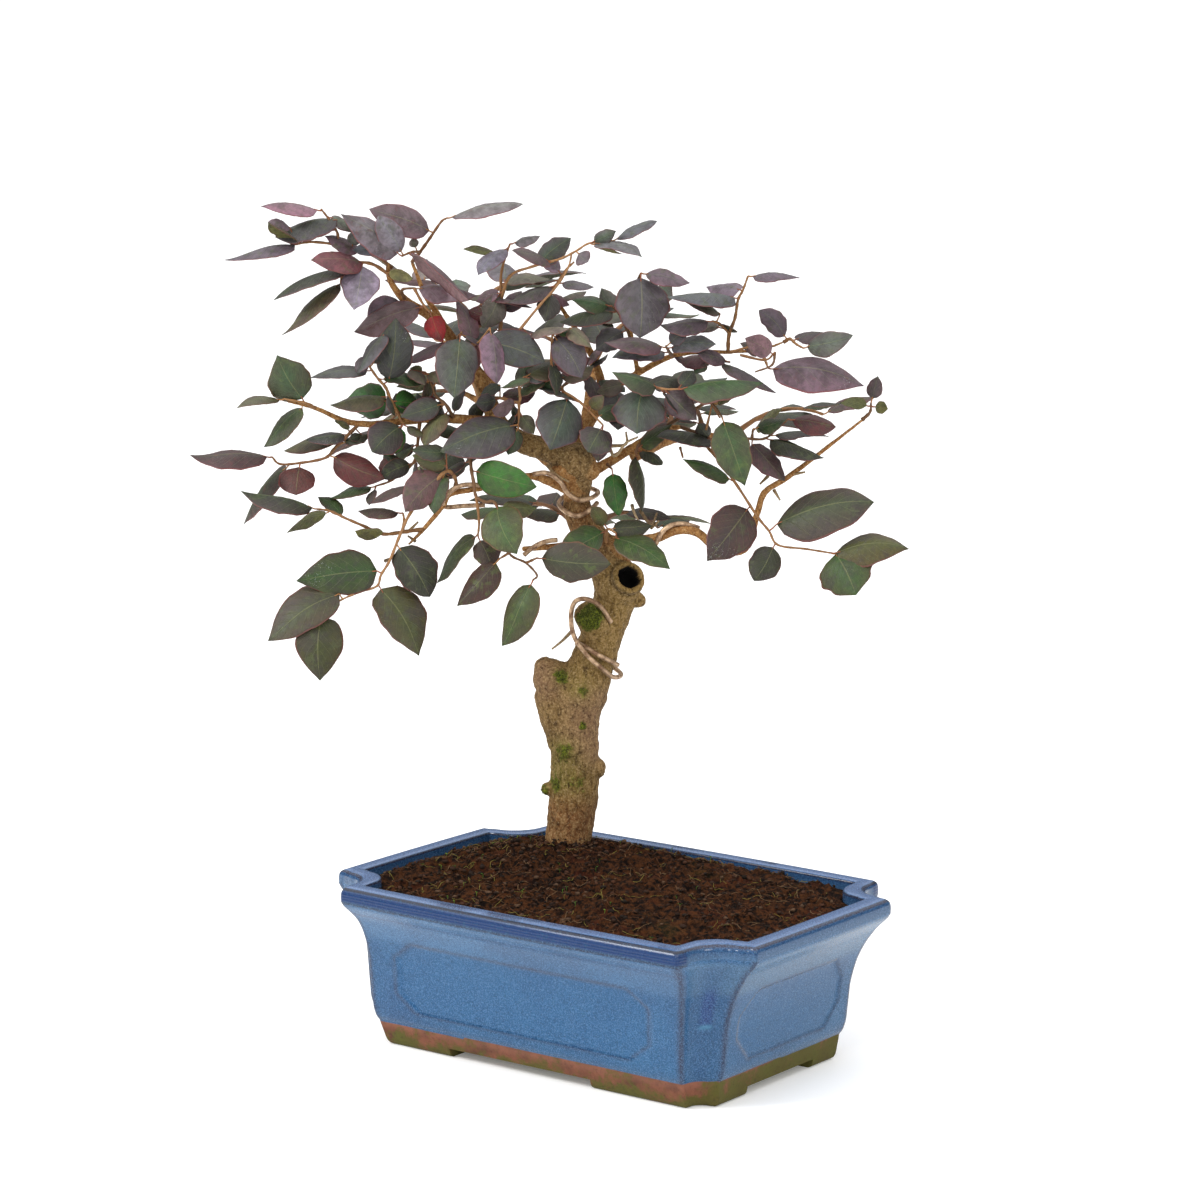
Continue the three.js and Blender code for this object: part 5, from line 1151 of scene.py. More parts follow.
# Each spray: its twigs' sighted points, and its leaves as they are seen, [base x and y, tip x and y,
# how much nearer the tip is, width, kind]. An "under" leaf shows its underside.
sprays = {
    "spray_tip_left": (
        [[[392, 268, 3], [375, 255, 6], [342, 245, 10], [337, 232, 11], [328, 218, 12], [321, 209, 13]],
         [[342, 245, 10], [313, 242, 14], [297, 244, 16]]],
        [[320, 211, 261, 206, 18, 9, "mauve"], [337, 229, 276, 236, 6, 14, "slate"],
         [300, 243, 225, 260, 30, 9, "plum"], [298, 240, 268, 222, 30, 10, "olive under"],
         [329, 215, 360, 228, 4, 11, "slate"]]),
    "spray_low_tip": (
        [[[391, 276, 4], [372, 264, 10], [354, 264, 14], [341, 278, 18]]],
        [[367, 259, 311, 260, 30, 20, "maroon"], [350, 266, 274, 300, 30, 11, "slate"],
         [340, 284, 282, 335, 30, 20, "olive"], [364, 263, 354, 310, 36, 38, "mauve"]]),
    "spray_crest": (
        [[[412, 262, -14], [420, 252, -8], [430, 238, -4], [441, 222, 0], [447, 218, 1]],
         [[420, 252, -8], [412, 252, 4], [402, 256, 10]]],
        [[433, 232, 369, 209, 6, 30, "plum"], [447, 218, 523, 204, 6, 8, "slate"],
         [402, 256, 341, 214, 22, 30, "slate"], [409, 255, 470, 300, 34, 11, "mauve under"]]),
    "spray_inner_left": (
        [[[405, 300, 2], [402, 290, 10], [414, 288, 12]],
         [[414, 288, 12], [423, 304, 13], [430, 312, 14]]],
        [[416, 287, 478, 296, 4, 18, "maroon"], [424, 307, 354, 332, 14, 30, "maroon"],
         [430, 312, 443, 343, 14, 22, "red"]]),
    "spray_shoulder": (
        [[[401, 419, 12], [391, 401, 16], [386, 388, 18], [376, 376, 20], [365, 358, 22],
          [369, 350, 23]],
         [[395, 409, 14.4], [403, 424, 20]]],
        [[389, 380, 396, 318, 26, 37, "dark"], [371, 373, 310, 378, 30, 13, "dark"],
         [367, 352, 357, 376, 28, 14, "slate"], [387, 397, 330, 405, 30, 17, "olive"],
         [390, 401, 345, 400, 8, 36, "bright"], [393, 400, 418, 402, 6, 24, "bright"],
         [402, 425, 372, 452, 38, 36, "slate"], [402, 427, 388, 456, 20, 20, "bright"]]),
    "spray_left_mid": (
        [[[454, 419, 8], [446, 405, 17], [436, 396, 16], [432, 385, 14], [425, 372, 12]]],
        [[444, 403, 400, 417, 24, 24, "slate"], [430, 380, 396, 387, 2, 16, "olive under"],
         [426, 374, 410, 368, 8, 12, "olive under"], [432, 388, 445, 370, 14, 14, "olive"],
         [447, 409, 424, 446, 30, 20, "olive"]]),
    "spray_gloss": (
        [[[460, 350, -2], [458, 338, 12], [462, 332, 20]],
         [[458, 342, 7], [476, 344, 14], [490, 328, 22]]],
        [[461, 334, 454, 398, 30, 44, "slate"], [490, 328, 497, 384, 36, 24, "mauve"],
         [484, 341, 545, 362, 24, 38, "dark"], [458, 342, 404, 363, 10, 12, "plum"],
         [472, 342, 456, 300, 0, 20, "plum"]]),
    "spray_middle": (
        [[[488, 400, 0], [500, 398, 8], [519, 402, 14], [519, 386, 16], [524, 377, 17]],
         [[519, 402, 14], [519, 420, 16], [518, 430, 17]]],
        [[500, 396, 476, 403, 18, 18, "slate"], [522, 378, 547, 379, 14, 9, "slate"],
         [516, 404, 492, 410, 30, 16, "mauve under"], [518, 424, 440, 452, 36, 40, "slate"],
         [519, 426, 508, 455, 22, 20, "green"], [520, 412, 534, 434, 20, 16, "olive"]]),
    "spray_centre": (
        [[[594, 365, -18], [575, 378, -4], [562, 389, 10], [580, 402, 18], [603, 425, 22]],
         [[562, 389, 10], [552, 370, 14], [552, 340, 18], [553, 334, 19]]],
        [[553, 332, 582, 378, 26, 34, "plum"], [550, 362, 556, 396, 22, 14, "dark"],
         [568, 398, 550, 450, 36, 48, "slate"], [603, 422, 588, 452, 30, 36, "slate"],
         [604, 426, 598, 462, 18, 24, "plum"], [590, 410, 604, 396, 30, 15, "olive"]]),
    "spray_blue": (
        [[[602, 394, -20], [622, 384, 0], [640, 384, 16], [664, 389, 22], [678, 389, 24]]],
        [[645, 386, 637, 434, 40, 54, "slate"], [660, 388, 612, 372, 34, 20, "green"],
         [664, 389, 697, 420, 20, 28, "plum"], [650, 386, 686, 380, 6, 16, "dark"],
         [681, 389, 763, 383, 26, 22, "green"], [616, 388, 618, 430, 20, 30, "slate"]]),
    "spray_top": (
        [[[486, 372, -2], [500, 330, -4], [501, 300, -2], [501, 276, 0], [505, 258, 2], [510, 244, 3]],
         [[501, 300, -2], [510, 276, 6], [531, 267, 8], [560, 259, 10], [576, 251, 12],
          [590, 243, 13], [612, 241, 14]]],
        [[534, 264, 571, 238, 4, 22, "slate"], [573, 248, 588, 262, 20, 18, "plum"],
         [590, 242, 616, 231, 20, 15, "slate"], [594, 244, 642, 257, 34, 12, "slate"],
         [615, 240, 657, 221, 16, 9, "slate"], [549, 262, 512, 250, 32, 12, "plum"],
         [510, 247, 478, 275, 18, 18, "plum"], [509, 243, 540, 236, 6, 9, "olive"],
         [504, 257, 463, 249, -10, 10, "olive under"], [501, 290, 482, 328, 4, 26, "olive"],
         [501, 283, 550, 279, -10, 12, "olive"]]),
    "spray_top_c": (
        [[[556, 302, -10], [545, 298, -4], [556, 285, 0], [566, 270, 2], [574, 262, 3]]],
        [[556, 287, 508, 303, 8, 16, "slate"], [560, 283, 594, 287, 8, 11, "dark"],
         [552, 291, 545, 322, 8, 24, "dark"], [563, 276, 536, 254, -6, 14, "plum"]]),
    "spray_round": (
        [[[630, 306, -3], [634, 288, 2], [641, 273, 8]]],
        [[641, 273, 640, 338, 18, 54, "plum"], [642, 272, 690, 283, 14, 15, "plum"]]),
    "spray_fork": (
        [[[632, 342, -10], [622, 318, -6], [612, 306, -4]]],
        [[613, 305, 572, 300, 4, 18, "green"], [617, 312, 560, 322, 8, 15, "dark"],
         [626, 328, 596, 350, -2, 24, "slate"]]),
    "spray_right_twig": (
        [[[728, 352, -6], [729, 335, -2], [735, 318, 0], [738, 300, 2], [743, 290, 4], [748, 276, 5]],
         [[729, 333, -2], [720, 324, 2], [713, 321, 4]]],
        [[748, 275, 800, 278, 10, 10, "plum"], [742, 290, 706, 287, -16, 17, "mauve"],
         [738, 297, 667, 297, 24, 14, "slate"], [720, 314, 679, 296, 6, 10, "olive"],
         [712, 321, 660, 325, 10, 18, "plum"]]),
    "spray_shelf": (
        [[[672, 356, -13], [668, 350, 0], [666, 346, 8]]],
        [[667, 348, 716, 344, 16, 18, "slate"], [665, 348, 604, 342, 16, 20, "plum"],
         [668, 352, 612, 358, 8, 17, "slate"], [666, 345, 688, 330, 8, 16, "slate"]]),
    "spray_shelf_under": (
        [[[702, 352, -9], [712, 360, 0], [730, 362, 6]]],
        [[730, 363, 697, 352, 14, 14, "plum"], [709, 358, 694, 374, -2, 14, "green"],
         [718, 362, 776, 393, 14, 11, "plum"]]),
    "spray_high_right": (
        [[[784, 342, -2], [790, 339, 0], [796, 344, 2], [803, 348, 4]]],
        [[788, 339, 759, 310, 6, 22, "plum"], [792, 340, 836, 333, -12, 11, "plum"],
         [803, 349, 853, 335, 18, 25, "green"]]),
    "spray_side_right": (
        [[[760, 350, -4], [765, 360, 4], [768, 368, 8]]],
        [[769, 370, 864, 386, 16, 36, "plum"], [763, 354, 740, 343, 8, 12, "olive"]]),
    "spray_far_right": (
        [[[862, 420, -5], [870, 412, -6], [871, 403, -6]]],
        [[869, 402, 878, 376, -4, 16, "plum"], [868, 406, 840, 403, 0, 11, "olive under"],
         [872, 406, 888, 409, -2, 13, "olive under"]]),
    "spray_right_inner": (
        [[[681, 427, -8], [700, 434, 0], [714, 440, 2], [740, 438, 4], [763, 439, 5], [776, 430, 6],
          [788, 419, 8]],
         [[752, 438, 4], [753, 429, 5]],
         [[690, 431, -4], [710, 450, 6], [734, 481, 12], [757, 516, 18], [769, 531, 22],
          [778, 545, 26], [806, 549, 30], [831, 553, 34]]],
        [[777, 524, 874, 502, 34, 42, "slate"], [832, 551, 909, 549, 42, 31, "olive"],
         [836, 554, 856, 595, 50, 56, "green"], [774, 548, 754, 581, 34, 32, "dark"],
         [751, 506, 707, 561, 38, 48, "plum"], [733, 480, 683, 459, 16, 15, "green"],
         [788, 419, 836, 427, 14, 20, "maroon"], [754, 429, 786, 420, 12, 16, "green"],
         [750, 430, 782, 409, -12, 12, "olive under"], [767, 439, 824, 458, 18, 18, "dark"],
         [772, 436, 829, 437, 0, 8, "slate"], [752, 444, 785, 481, 16, 25, "plum"],
         [715, 441, 655, 437, 26, 18, "dark"]]),
    "spray_green_hang": (
        [[[662, 429, -8], [690, 412, 4], [710, 403, 14], [722, 417, 22]]],
        [[723, 419, 745, 486, 30, 38, "green"], [712, 404, 733, 398, 18, 8, "olive"]]),
    "spray_low_centre": (
        [[[640, 443, -6], [636, 452, 4], [638, 456, 6]]],
        [[637, 452, 642, 512, 12, 13, "dark"], [638, 450, 662, 465, 14, 13, "dark"],
         [637, 450, 672, 424, 2, 18, "green"]]),
    "spray_bright": (
        [[[606, 463, -2], [612, 469, 6]]],
        [[612, 469, 619, 516, 14, 24, "bright"]]),
    "spray_front_low": (
        [[[606, 548, 4], [606, 536, 14], [608, 529, 20], [616, 533, 24]]],
        [[607, 528, 652, 526, 18, 20, "dark"], [616, 538, 670, 569, 40, 25, "green"],
         [604, 530, 560, 554, 34, 32, "green"], [606, 526, 592, 507, 22, 16, "olive"]]),
    "spray_left_hang": (
        [[[471, 420, 6], [470, 445, 16], [471, 467, 27], [474, 484, 33], [476, 496, 34],
          [485, 502, 36], [495, 503, 37], [503, 525, 38], [509, 553, 41], [526, 563, 44],
          [537, 575, 46], [533, 580, 47]],
         [[476, 496, 34], [479, 520, 35], [478, 536, 36]],
         [[509, 553, 41], [499, 559, 42]],
         [[526, 563, 44], [537, 558, 46]]],
        [[492, 506, 517, 554, 56, 44, "green"], [499, 510, 537, 508, 30, 17, "olive"],
         [477, 536, 492, 570, 40, 28, "plum"], [477, 534, 437, 583, 26, 16, "green"],
         [498, 560, 457, 606, 48, 30, "plum"], [533, 581, 502, 646, 52, 30, "green"],
         [538, 558, 611, 564, 54, 40, "slate"], [473, 470, 537, 487, 34, 36, "bright"]]),
    "spray_low_left": (
        [[[452, 494, 24], [456, 481, 23], [447, 471, 29], [430, 488, 37], [411, 512, 42],
          [400, 535, 45], [390, 560, 47], [381, 575, 48], [377, 586, 49], [360, 592, 51],
          [343, 599, 53], [321, 611, 56]]],
        [[445, 470, 405, 512, 48, 36, "mauve"], [447, 474, 434, 514, 44, 20, "green"],
         [377, 571, 296, 581, 53, 45, "green"], [339, 594, 268, 641, 60, 42, "slate"],
         [323, 613, 320, 681, 66, 48, "olive"], [381, 588, 419, 656, 56, 46, "olive"],
         [398, 546, 430, 597, 52, 42, "dark"], [446, 466, 412, 455, 30, 20, "olive"]]),
    "spray_left_maroon": (
        [[[359, 424, 16], [347, 436, 20], [335, 448, 24], [325, 458, 28], [300, 463, 32],
          [280, 464, 35], [272, 457, 37]]],
        [[270, 456, 190, 455, 46, 18, "plum"], [331, 456, 385, 479, 34, 30, "maroon"],
         [301, 459, 296, 495, 46, 37, "maroon"], [345, 436, 284, 451, 12, 14, "olive"],
         [288, 466, 244, 524, 18, 13, "slate"]]),
    "spray_left_end": (
        [[[315, 408, 18], [305, 403, 25], [284, 399, 28]]],
        [[306, 402, 277, 355, 28, 44, "green"], [285, 401, 237, 408, 38, 10, "olive"],
         [302, 408, 264, 447, 30, 18, "green"]]),
    "spray_left_wired": (
        [[[424, 529, 28], [403, 532, 32], [383, 534, 35], [366, 527, 38], [345, 518, 41],
          [330, 511, 43], [317, 509, 45]],
         [[403, 532, 32], [404, 520, 34], [403, 513, 35]]],
        [[315, 506, 241, 491, 56, 14, "slate"], [331, 510, 287, 533, 56, 13, "olive under"],
         [345, 517, 318, 497, 32, 13, "green"], [403, 513, 358, 511, 42, 10, "plum"],
         [386, 532, 355, 531, 46, 11, "olive under"]]),
    "spray_left_under": (
        [[[420, 419, 11], [418, 440, 16], [414, 462, 20], [392, 480, 24], [376, 486, 27]]],
        [[414, 464, 380, 478, 28, 20, "dark"], [377, 486, 330, 498, 34, 12, "green"],
         [416, 452, 392, 450, 8, 14, "dark"], [402, 474, 384, 452, 16, 16, "dark"]]),
}
# Each spray behind: where it starts and how it runs on, in mm to the right, nearer and up, and a seed.
back_sprays = {
    "back_a": ([-30, -36, 306], [-46, -4, -28], 3), "back_b": ([-46, -58, 318], [-26, -42, 30], 7),
    "back_c": ([-56, -80, 321], [-44, -20, -20], 11), "back_d": ([-44, -36, 358], [-40, -22, 26], 19),
    "back_e": ([-49, -52, 367], [26, -34, 12], 23), "back_f": ([12, -48, 330], [-34, -34, 22], 29),
    "back_g": ([14, -61, 341], [26, -26, 20], 31), "back_h": ([52, -26, 303], [10, -50, 20], 37),
    "back_i": ([72, -46, 302], [-6, -50, 6], 41), "back_j": ([86, -58, 300], [50, -8, 12], 43),
    "back_k": ([14, -30, 256], [34, -40, -6], 47), "back_l": ([5, -56, 252], [-36, -34, 4], 53),
}
back_leaf_count = 5
leaf_ratio = 0.56
stalk_length = 2.6
stalk_radius = 0.42
hidden_stalk = 3
leaf_rows = 16
leaf_columns = 8
edge_crowding = 1.35
blade_half_thickness = 0.17
arch = 0.36
stalk_tones = ("8a5238", "7a4a34", "96683e")
twig_tones = ("855e38", "755030", "8f6842", "62452b")
ceiling = cad_high.z * 1000 - 0.5
# Where the foliage is thick, as ovals in the view, and how far apart the small leaves inside it are.
crown_hearts = [(560, 360, 175, 82), (440, 420, 110, 70), (690, 370, 90, 50), (600, 420, 100, 45)]
inner_spacing = 17
# The inner leaves lean to the dark kind, as painted shade inside the crown.
inner_kinds = ("dark", "dark", "slate", "olive", "green", "plum", "maroon")
back_kinds = ("slate", "slate", "plum", "green", "olive", "dark")


def linear(code):
    return np.array(paint(code)[:3])


def stem_tube(heap, path, radii, sides, code):
    tube(heap, path, radii, sides, 1, uv=(0, 0), tone=linear(code), upper=0.5, slim=1)


def leaf(heap, anchor, base, tip, normal, width, kind, rng):
    """One leaf: a stalk from its twig, and a blade arched along a midrib, of two sheets"""
    length = np.linalg.norm(tip - base)
    along = (tip - base) / length
    up = unit(normal - along * (normal @ along))
    across = np.cross(up, along)
    half = width / 2
    phase = rng.uniform(0, 6.28)
    ripple = rng.uniform(0.012, 0.03) * width
    curl = rng.uniform(-0.3, 0.3)
    fold = rng.choice((-0.1, 0.02, 0.06, 0.12, 0.2, 0.3))
    droop = rng.uniform(-0.03, 0.13) * length
    sweep = rng.uniform(-0.07, 0.07) * length
    bite = rng.uniform(0, 0.05)
    veins = max(4, round(length / 4.2))
    t = np.linspace(0, 1, leaf_rows + 1)[:, None]
    s = np.sin(np.linspace(-1, 1, leaf_columns + 1) * edge_crowding)[None, :] / math.sin(edge_crowding)
    full = rng.uniform(0.46, 0.62)
    taper = rng.uniform(0.6, 0.95)
    sharp = rng.uniform(0.4, 0.85)
    shape = t ** full * (1 - t) ** taper * (1 - sharp * np.exp(-(1 - t) / 0.1))
    shape = shape / shape.max()
    wide = np.maximum(half * shape, stalk_radius * (1 - t) ** 0.5)
    wide = wide * (1 + 0.03 * np.sin(13 * t + phase) + 0.06 * np.sign(s) * math.sin(phase)
                   + bite * np.sin(23 * t + phase * np.sign(s)) * np.abs(s) ** 3)
    sag = (arch * length * t * (1 - t) - (0.22 + fold) * np.abs(s) ** 1.2 * wide
           - droop * t ** 3 * (1 - t) * 4)
    wave = ripple * np.sin(9 * t + phase + 2 * np.sign(s)) * s * s * shape
    between_veins = np.cos(2 * math.pi * (veins * (t - 0.28 * np.abs(s) * width / length)))
    quilt = 0.13 * between_veins * np.minimum(1, 4 * np.abs(s)) * shape
    groove = -0.3 * np.exp(-(s / 0.1) ** 2) * (1 - t)
    lift = sag + wave + curl * s * wide * t - quilt * 0.8 + groove
    aside = sweep * np.sin(math.pi * t)
    centre = (base + along * (t * length)[..., None] + across * (s * wide + aside)[..., None]
              + up * lift[..., None])
    centre[..., 2] -= max(0, centre[..., 2].max() - ceiling) * np.minimum(1, 3 * t)
    thin = blade_half_thickness * (1 - 0.5 * np.abs(s) ** 4) * np.ones_like(t)
    rows, columns = leaf_rows, leaf_columns + 1
    sheets = [np.vstack([sheet[:-1].reshape(-1, 3), sheet[-1:, columns // 2]])
              for sheet in (centre + up * thin[..., None], centre - up * thin[..., None])]
    count = len(sheets[0])
    faces = []
    for i in range(rows - 1):
        for j in range(columns - 1):
            a = i * columns + j
            faces.append((a, a + columns, a + columns + 1, a + 1)[::-1])
            faces.append((a + count, a + columns + count, a + columns + 1 + count, a + 1 + count))
    end = (rows - 1) * columns
    point = count - 1
    for j in range(columns - 1):
        faces.append((end + j, end + j + 1, point))
        faces.append((end + j + 1 + count, end + j + count, point + count))
        faces.append((j, j + count, j + 1 + count, j + 1))
    for i in range(rows - 1):
        a, b = i * columns, (i + 1) * columns
        faces.append((a, b, b + count, a + count))
        a, b = a + columns - 1, b + columns - 1
        faces.append((b, a, a + count, b + count))
    faces.append((end, point, point + count, end + count))
    faces.append((point, end + columns - 1, end + columns - 1 + count, point + count))
    uv = np.stack(np.broadcast_arrays(s * 0.5 + 0.5, t), axis=-1)
    uv = np.vstack([uv[:-1].reshape(-1, 2), [[0.5, 1]]])
    heart, margin, lower = (linear(code) for code in leaf_kinds[kind])
    height = base[2]
    # Leaves lower in the crown are painted darker and less blue: painted shade from the leaves above
    # them.
    depth = np.interp(height, [250, 330, 400], [0.56, 0.8, 1.05])
    shade_warmth = np.interp(height, [240, 330], [0.4, 0.95])
    tint = depth * rng.uniform(0.7, 1.3) \
        * np.array([rng.uniform(0.9, 1.12), 1, rng.uniform(0.9, 1.1) * shade_warmth])
    spread = np.clip(np.abs(uv[:, :1] - 0.5) * 2.2 + rng.uniform(-0.25, 0.35), 0, 1)
    # High leaves are mixed at random towards a pale grey-lilac, a painted sheen of the sky.
    top_sheen = rng.uniform(0, 0.6) * eased(height, 300, 400) * (kind not in ("bright", "red"))
    above = (heart * (1 - spread) + margin * spread) * (1 - top_sheen) + linear(top_sheen_tone) * top_sheen
    tone = np.vstack([above * tint, np.broadcast_to(lower * tint, (count, 3))])
    heap.add(np.vstack(sheets), faces, 0, uv=np.vstack([uv, uv]), tone=tone,
             upper=np.repeat([1.0, 0.0], count), slim=np.full(2 * count, width / length))
    under_blade = base + along * 0.06 * length + up * (arch * length * 0.056 - 0.1)
    stalk = smooth_path([anchor, (anchor + base) / 2 - (0, 0, 0.2), base, under_blade], 3)
    radii = np.linspace(stalk_radius * 1.15, stalk_radius * 0.7, len(stalk))
    stem_tube(heap, stalk, radii, 6, rng.choice(stalk_tones))


def twig(heap, path, first, last, rng):
    """A young stem with a slight swelling where each leaf was"""
    radii = np.linspace(first, last, len(path))
    radii = radii * (1 + 0.14 * np.sin(np.arange(len(path)) * 1.9 + rng.uniform(0, 6)))
    stem_tube(heap, path, radii, 8, rng.choice(twig_tones))


def leaf_finish(name, blotch, flush, edge, gloss):
    """A leathery leaf, whose midrib, side veins and margin follow its own map"""
    finish = Finish(name, Specular_IOR_Level=0.4)
    place = finish.node("ShaderNodeUVMap", {"uv_map": "uv"})
    u, v = (finish.node("ShaderNodeSeparateXYZ", None, {0: place}, axis) for axis in (0, 1))
    out = abs(u - 0.5)
    upper = finish.attribute("upper")
    midrib = 1 - out.between(0.006, 0.02)
    rows = (v - out * finish.attribute("slim") * 1.15) * 7
    vein = 1 - abs(rows.part() - 0.5).between(0.015, 0.075)
    vein = vein * (1 - out.between(0.34, 0.46)) * v.between(0.03, 0.12)
    net = 1 - finish.cells(900, "DISTANCE_TO_EDGE").between(0.0, 0.09)
    drift = finish.cloud(110, 3, 0.6)
    spot = finish.cloud(420, 3, 0.65)
    dust = finish.cloud(35, 2, 0.5).between(0.62, 0.7) * (1 - finish.cells(1100).between(0.1, 0.2))
    colour = finish.layered(
        finish.attribute("tone", "Color"),
        (drift.between(0.46, 0.62) * 0.42, blotch),
        (finish.cloud(190, 3, 0.6).between(0.54, 0.66) * 0.4, flush),
        (spot.between(0.35, 0.7) * 0.35, (0.008, 0.01, 0.006, 1)),
        (net * 0.08, "6d6a4c"),
        (vein * (0.1 + (1 - upper) * 0.14), "848a64"),
        (midrib * 0.24, "8c8c5c"),
        (out.between(0.455, 0.495) * 0.75, edge),
        (dust * 0.6 * upper, "c4cbc8"))
    height = vein * (0.5 - upper) * 0.8 + midrib * (0.6 - upper) + spot * 0.25 + net * 0.12
    finish.set(Base_Color=colour, Roughness=gloss + drift * 0.2 + (1 - upper) * 0.2,
               Normal=finish.bump(height, 0.0005, 0.7))
    return finish


leaf_finishes = {
    "leaf_slate": leaf_finish("leathery_slate_leaf", "33262e", "46502c", "6e3c38", 0.4),
    "leaf_green": leaf_finish("young_green_leaf", "3c3424", "54662c", "6e4a38", 0.4),
    "leaf_maroon": leaf_finish("maroon_leaf", "2a1216", "5c2c2c", "7a3c38", 0.4),
    "leaf_hidden": leaf_finish("inner_leaf", "30262a", "40482a", "6e463c", 0.44),
}
stem = Finish("young_twig", Roughness=0.6, Specular_IOR_Level=0.3)
stem_spot = stem.cloud(500, 3, 0.6)
shade = stem.mix(stem_spot.between(0.4, 0.7) * 0.5, stem.attribute("tone", "Color"), "6a4a34")
stem.set(Base_Color=shade, Normal=stem.bump(stem_spot, 0.0003, 0.6))


def inside_crown(x, y):
    """Whether a place in the view lies where the foliage is thick"""
    return any(((x - middle_x) / half_x) ** 2 + ((y - middle_y) / half_y) ** 2 < 1
               for middle_x, middle_y, half_x, half_y in crown_hearts)


def inner_leaves(heap, line, rng):
    """Small shaded leaves along a stretch of twig, where the foliage is thick"""
    since = inner_spacing * rng.uniform(0.3, 1)
    for before, here in zip(line[:-1], line[1:]):
        since += math.hypot(here[0] - before[0], here[1] - before[1])
        if since < inner_spacing:
            continue
        since = inner_spacing * rng.uniform(0, 0.3)
        turn = rng.uniform(0, 2 * math.pi)
        reach = rng.uniform(24, 46)
        tip_x, tip_y = here[0] + math.cos(turn) * reach, here[1] + math.sin(turn) * reach * 0.8
        if not (inside_crown(here[0], here[1]) and inside_crown(tip_x, tip_y)):
            continue
        anchor = sighted(here)
        tip = sighted([tip_x, tip_y, here[2] - rng.uniform(2, 16)])
        base = anchor + unit(tip - anchor) * hidden_stalk
        normal = upward * rng.uniform(0.3, 1) - away * rng.uniform(0.2, 1)
        normal = normal + rightward * rng.uniform(-0.7, 0.7)
        kind = rng.choice(inner_kinds)
        width = np.linalg.norm(tip - base) * rng.uniform(0.55, 0.7)
        leaf(heap, anchor, base, tip, normal, width, kind, rng)


def finish_spray(heap, name, slot):
    piece = heap.piece(name + "_leafy", leaf_finishes[slot], stem)
    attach(piece, "root")
    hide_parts(name)


def nearest_spot(spots, x, y):
    """Of all the sighted points of the twigs, the one that is seen nearest to a place"""
    return spots[np.argmin(np.hypot(spots[:, 0] - x, spots[:, 1] - y))]


def seen_leaf(heap, on_twig, place, rng):
    """A leaf from its base, tip and width as seen, on the twig's nearest point"""
    base_x, base_y, tip_x, tip_y, nearer, seen_width, kind = place
    anchor = sighted(on_twig)
    tip = sighted([tip_x, tip_y, nearer])
    base = sighted([base_x, base_y, on_twig[2]])
    if np.linalg.norm(base - anchor) < stalk_length:
        base = anchor + unit(tip - anchor) * stalk_length
    length = np.linalg.norm(tip - base)
    along = (tip - base) / length
    seen = seen_width / focal_steps * np.linalg.norm(eye - base)
    width = max(seen, leaf_ratio * length)
    turn = math.acos(min(1, seen / width))
    viewer = unit(eye - base)
    facing = unit(viewer - along * (viewer @ along))
    aside = np.cross(along, facing)
    if aside[2] < 0:
        aside = -aside
    normal = facing * math.cos(turn) * (-1 if kind.endswith("under") else 1) + aside * math.sin(turn)
    leaf(heap, anchor, base, tip, normal, width, kind.split()[0], rng)


every_spot = []
for order, (name, (twigs, leaves)) in enumerate(sprays.items()):
    rng = random.Random(100 + order)
    heap = Heap()
    lines = [smooth_path(points, 6) for points in twigs]
    for line in lines:
        inner_leaves(heap, line, rng)
        twig(heap, [sighted(p) for p in line], 1.1 if line is lines[0] else 0.85, 0.5, rng)
    spots = np.vstack(lines)
    every_spot.append(spots)
    for place in leaves:
        seen_leaf(heap, nearest_spot(spots, *place[:2]), place, rng)
    short = name.replace("spray_", "")
    tinted = "leaf_maroon" if short in maroon_sprays else "leaf_slate"
    finish_spray(heap, name, "leaf_green" if short in green_sprays else tinted)


def seeded_row(seed):
    """A row of numbers from 0 to 1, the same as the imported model's own"""
    state = seed
    while True:
        state = (state + 0x6d2b79f5) & 0xffffffff
        mixed = ((state ^ (state >> 15)) * (1 | state)) & 0xffffffff
        mixed = ((mixed + (((mixed ^ (mixed >> 7)) * (61 | mixed)) & 0xffffffff)) & 0xffffffff) ^ mixed
        yield ((mixed ^ (mixed >> 14)) & 0xffffffff) / 4294967296


for order, (name, (start, heading, seed)) in enumerate(back_sprays.items()):
    rng = random.Random(200 + order)
    row = seeded_row(seed)
    heap = Heap()
    origin = hidden(start)
    run = hidden([a + b for a, b in zip(start, heading)]) - origin
    rise = np.array([0, 0, np.linalg.norm(run) * 0.16])
    path = [origin + run * t + rise * 4 * t * (1 - t) for t in np.linspace(0, 1, 16)]
    twig(heap, path, 1.5, 0.8, rng)
    onward = unit(run)
    sideways = unit(np.array([-onward[1], onward[0], 0]))
    for i in range(back_leaf_count):
        t = (i + 1) / back_leaf_count
        hand = 1 if i % 2 == 0 else -1
        spread = 0.1 if i == back_leaf_count - 1 else 0.9 + 0.4 * next(row)
        anchor = origin + run * t + rise * 4 * t * (1 - t)
        direction = onward * 0.75 + sideways * hand * spread + np.array([0, 0, 0.5 * next(row) - 0.2])
        direction = unit(direction)
        length = 24 + 12 * next(row)
        base = anchor + direction * hidden_stalk
        tip = base + direction * length - np.array([0, 0, 0.12 * length])
        normal = np.array([0.7 * next(row) - 0.35, 0.7 * next(row) - 0.35, 1])
        width = length * (0.5 + 0.12 * next(row))
        leaf(heap, anchor, base, tip, normal, width, rng.choice(back_kinds), rng)
    finish_spray(heap, name, "leaf_hidden")

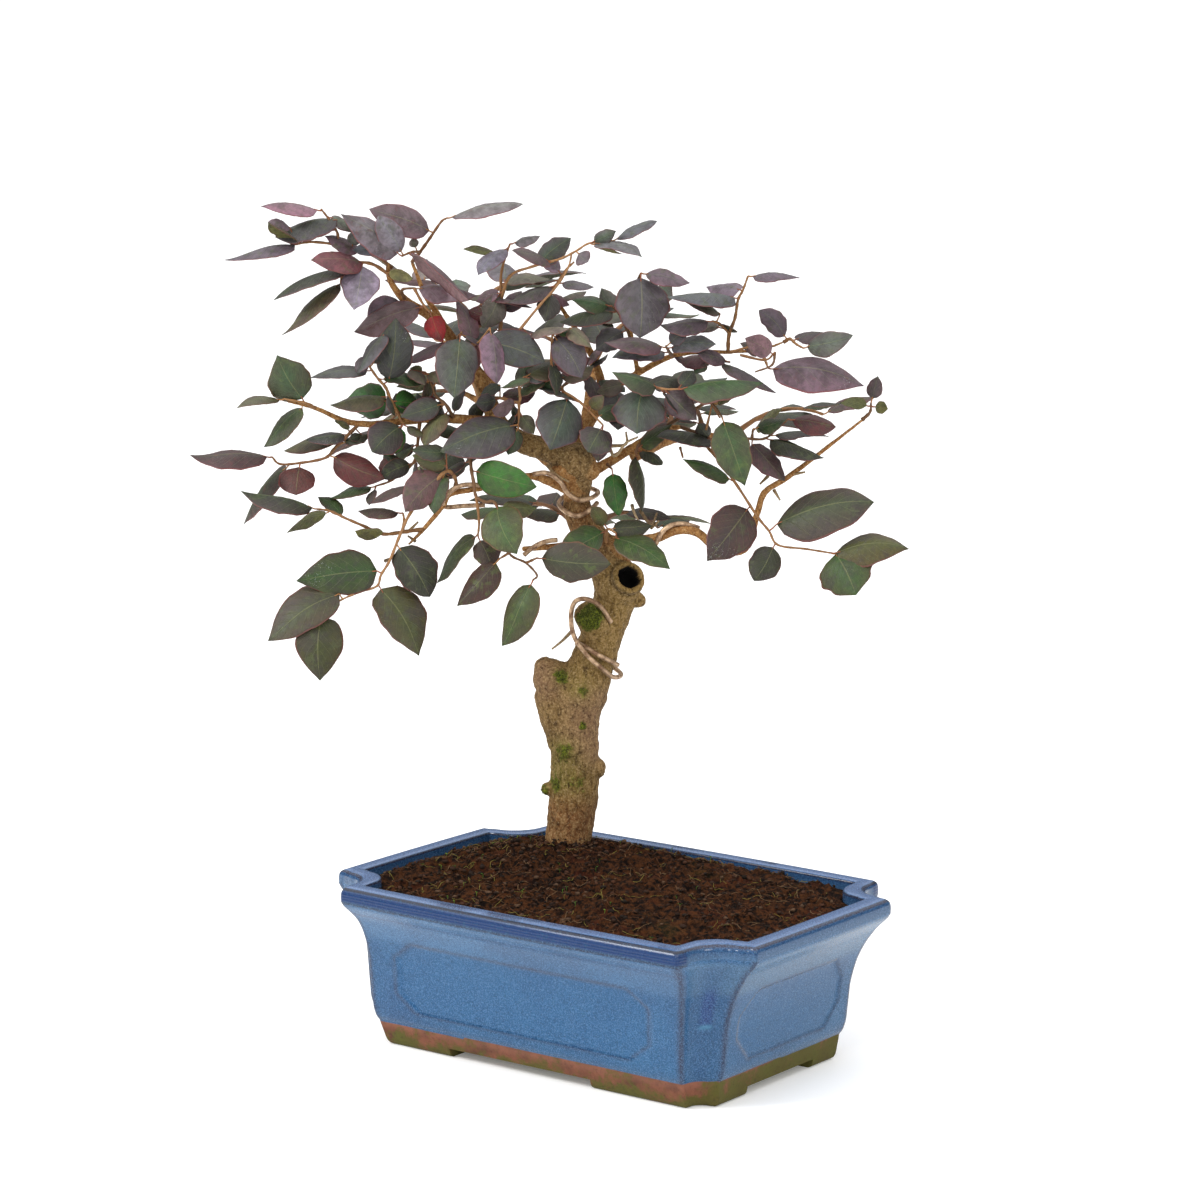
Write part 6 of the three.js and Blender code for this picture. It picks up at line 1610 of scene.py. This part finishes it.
# SMALL LEAVES. Leaves on short shoots of their own between the sprays, and the thin straight shoots
# that carry none. They are one piece, since each is only a few mm long.
short_shoots = [
    [[517, 333, 14], [540, 305, 16], [556, 287, 16], [568, 268, 15], [572, 252, 14]],
    [[700, 393, 10], [712, 405, 12], [720, 418, 14]], [[706, 430, 12], [712, 405, 12]],
    [[712, 402, 12], [733, 397, 15]], [[730, 352, 10], [745, 348, 12], [762, 342, 14]],
    [[740, 355, 12], [765, 360, 14], [775, 352, 16]], [[775, 352, 15], [772, 365, 17], [755, 372, 19]],
    [[680, 447, 10], [683, 458, 12]]
]
small_leaves = [
    [495, 300, 532, 308, 6, "plum"], [530, 335, 570, 328, 10, "olive"],
    [570, 328, 592, 348, 16, "olive"], [599, 347, 588, 366, 8, "mauve"],
    [588, 375, 602, 405, 14, "plum"], [600, 380, 625, 392, 12, "dark"],
    [545, 382, 517, 397, 10, "green"], [530, 378, 500, 388, 8, "green"],
    [592, 246, 622, 254, 6, "olive under"], [500, 385, 480, 400, 12, "dark"],
    [347, 434, 306, 440, 14, "slate"], [350, 430, 335, 420, 6, "olive under"],
    [362, 435, 350, 440, 10, "dark"], [376, 486, 369, 505, 8, "plum"],
    [410, 370, 425, 385, 12, "olive"], [425, 368, 440, 382, 12, "olive"],
    [405, 425, 425, 437, 10, "olive"], [446, 452, 412, 450, 18, "slate"],
    [776, 356, 745, 338, 22, "mauve under"], [712, 440, 698, 424, 16, "slate"],
    [383, 248, 352, 250, 13, "steel"], [352, 245, 358, 228, 14, "olive"],
    [365, 250, 325, 236, 14, "maroon"], [404, 254, 378, 216, 26, "steel"],
    [417, 252, 412, 238, 10, "olive"], [384, 274, 413, 279, 11, "olive under"],
    [408, 300, 367, 322, 26, "plum"], [385, 334, 357, 374, 14, "slate"],
    [337, 220, 275, 237, 18, "slate"], [290, 228, 268, 222, 10, "plum"],
    [500, 318, 468, 310, 22, "maroon"]
]
rng = random.Random(77)
heap = Heap()
for points in short_shoots:
    line = smooth_path(points, 5)
    every_spot.append(line)
    twig(heap, [sighted(p) for p in line], 0.75, 0.45, rng)
spots = np.vstack(every_spot)
for *ends, seen_width, kind in small_leaves:
    on_twig = nearest_spot(spots, *ends[:2])
    seen_leaf(heap, on_twig, [*ends, on_twig[2] + rng.uniform(2, 12), seen_width, kind], rng)
small = heap.piece("small_leaves", leaf_finishes["leaf_slate"], stem)
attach(small, "root")
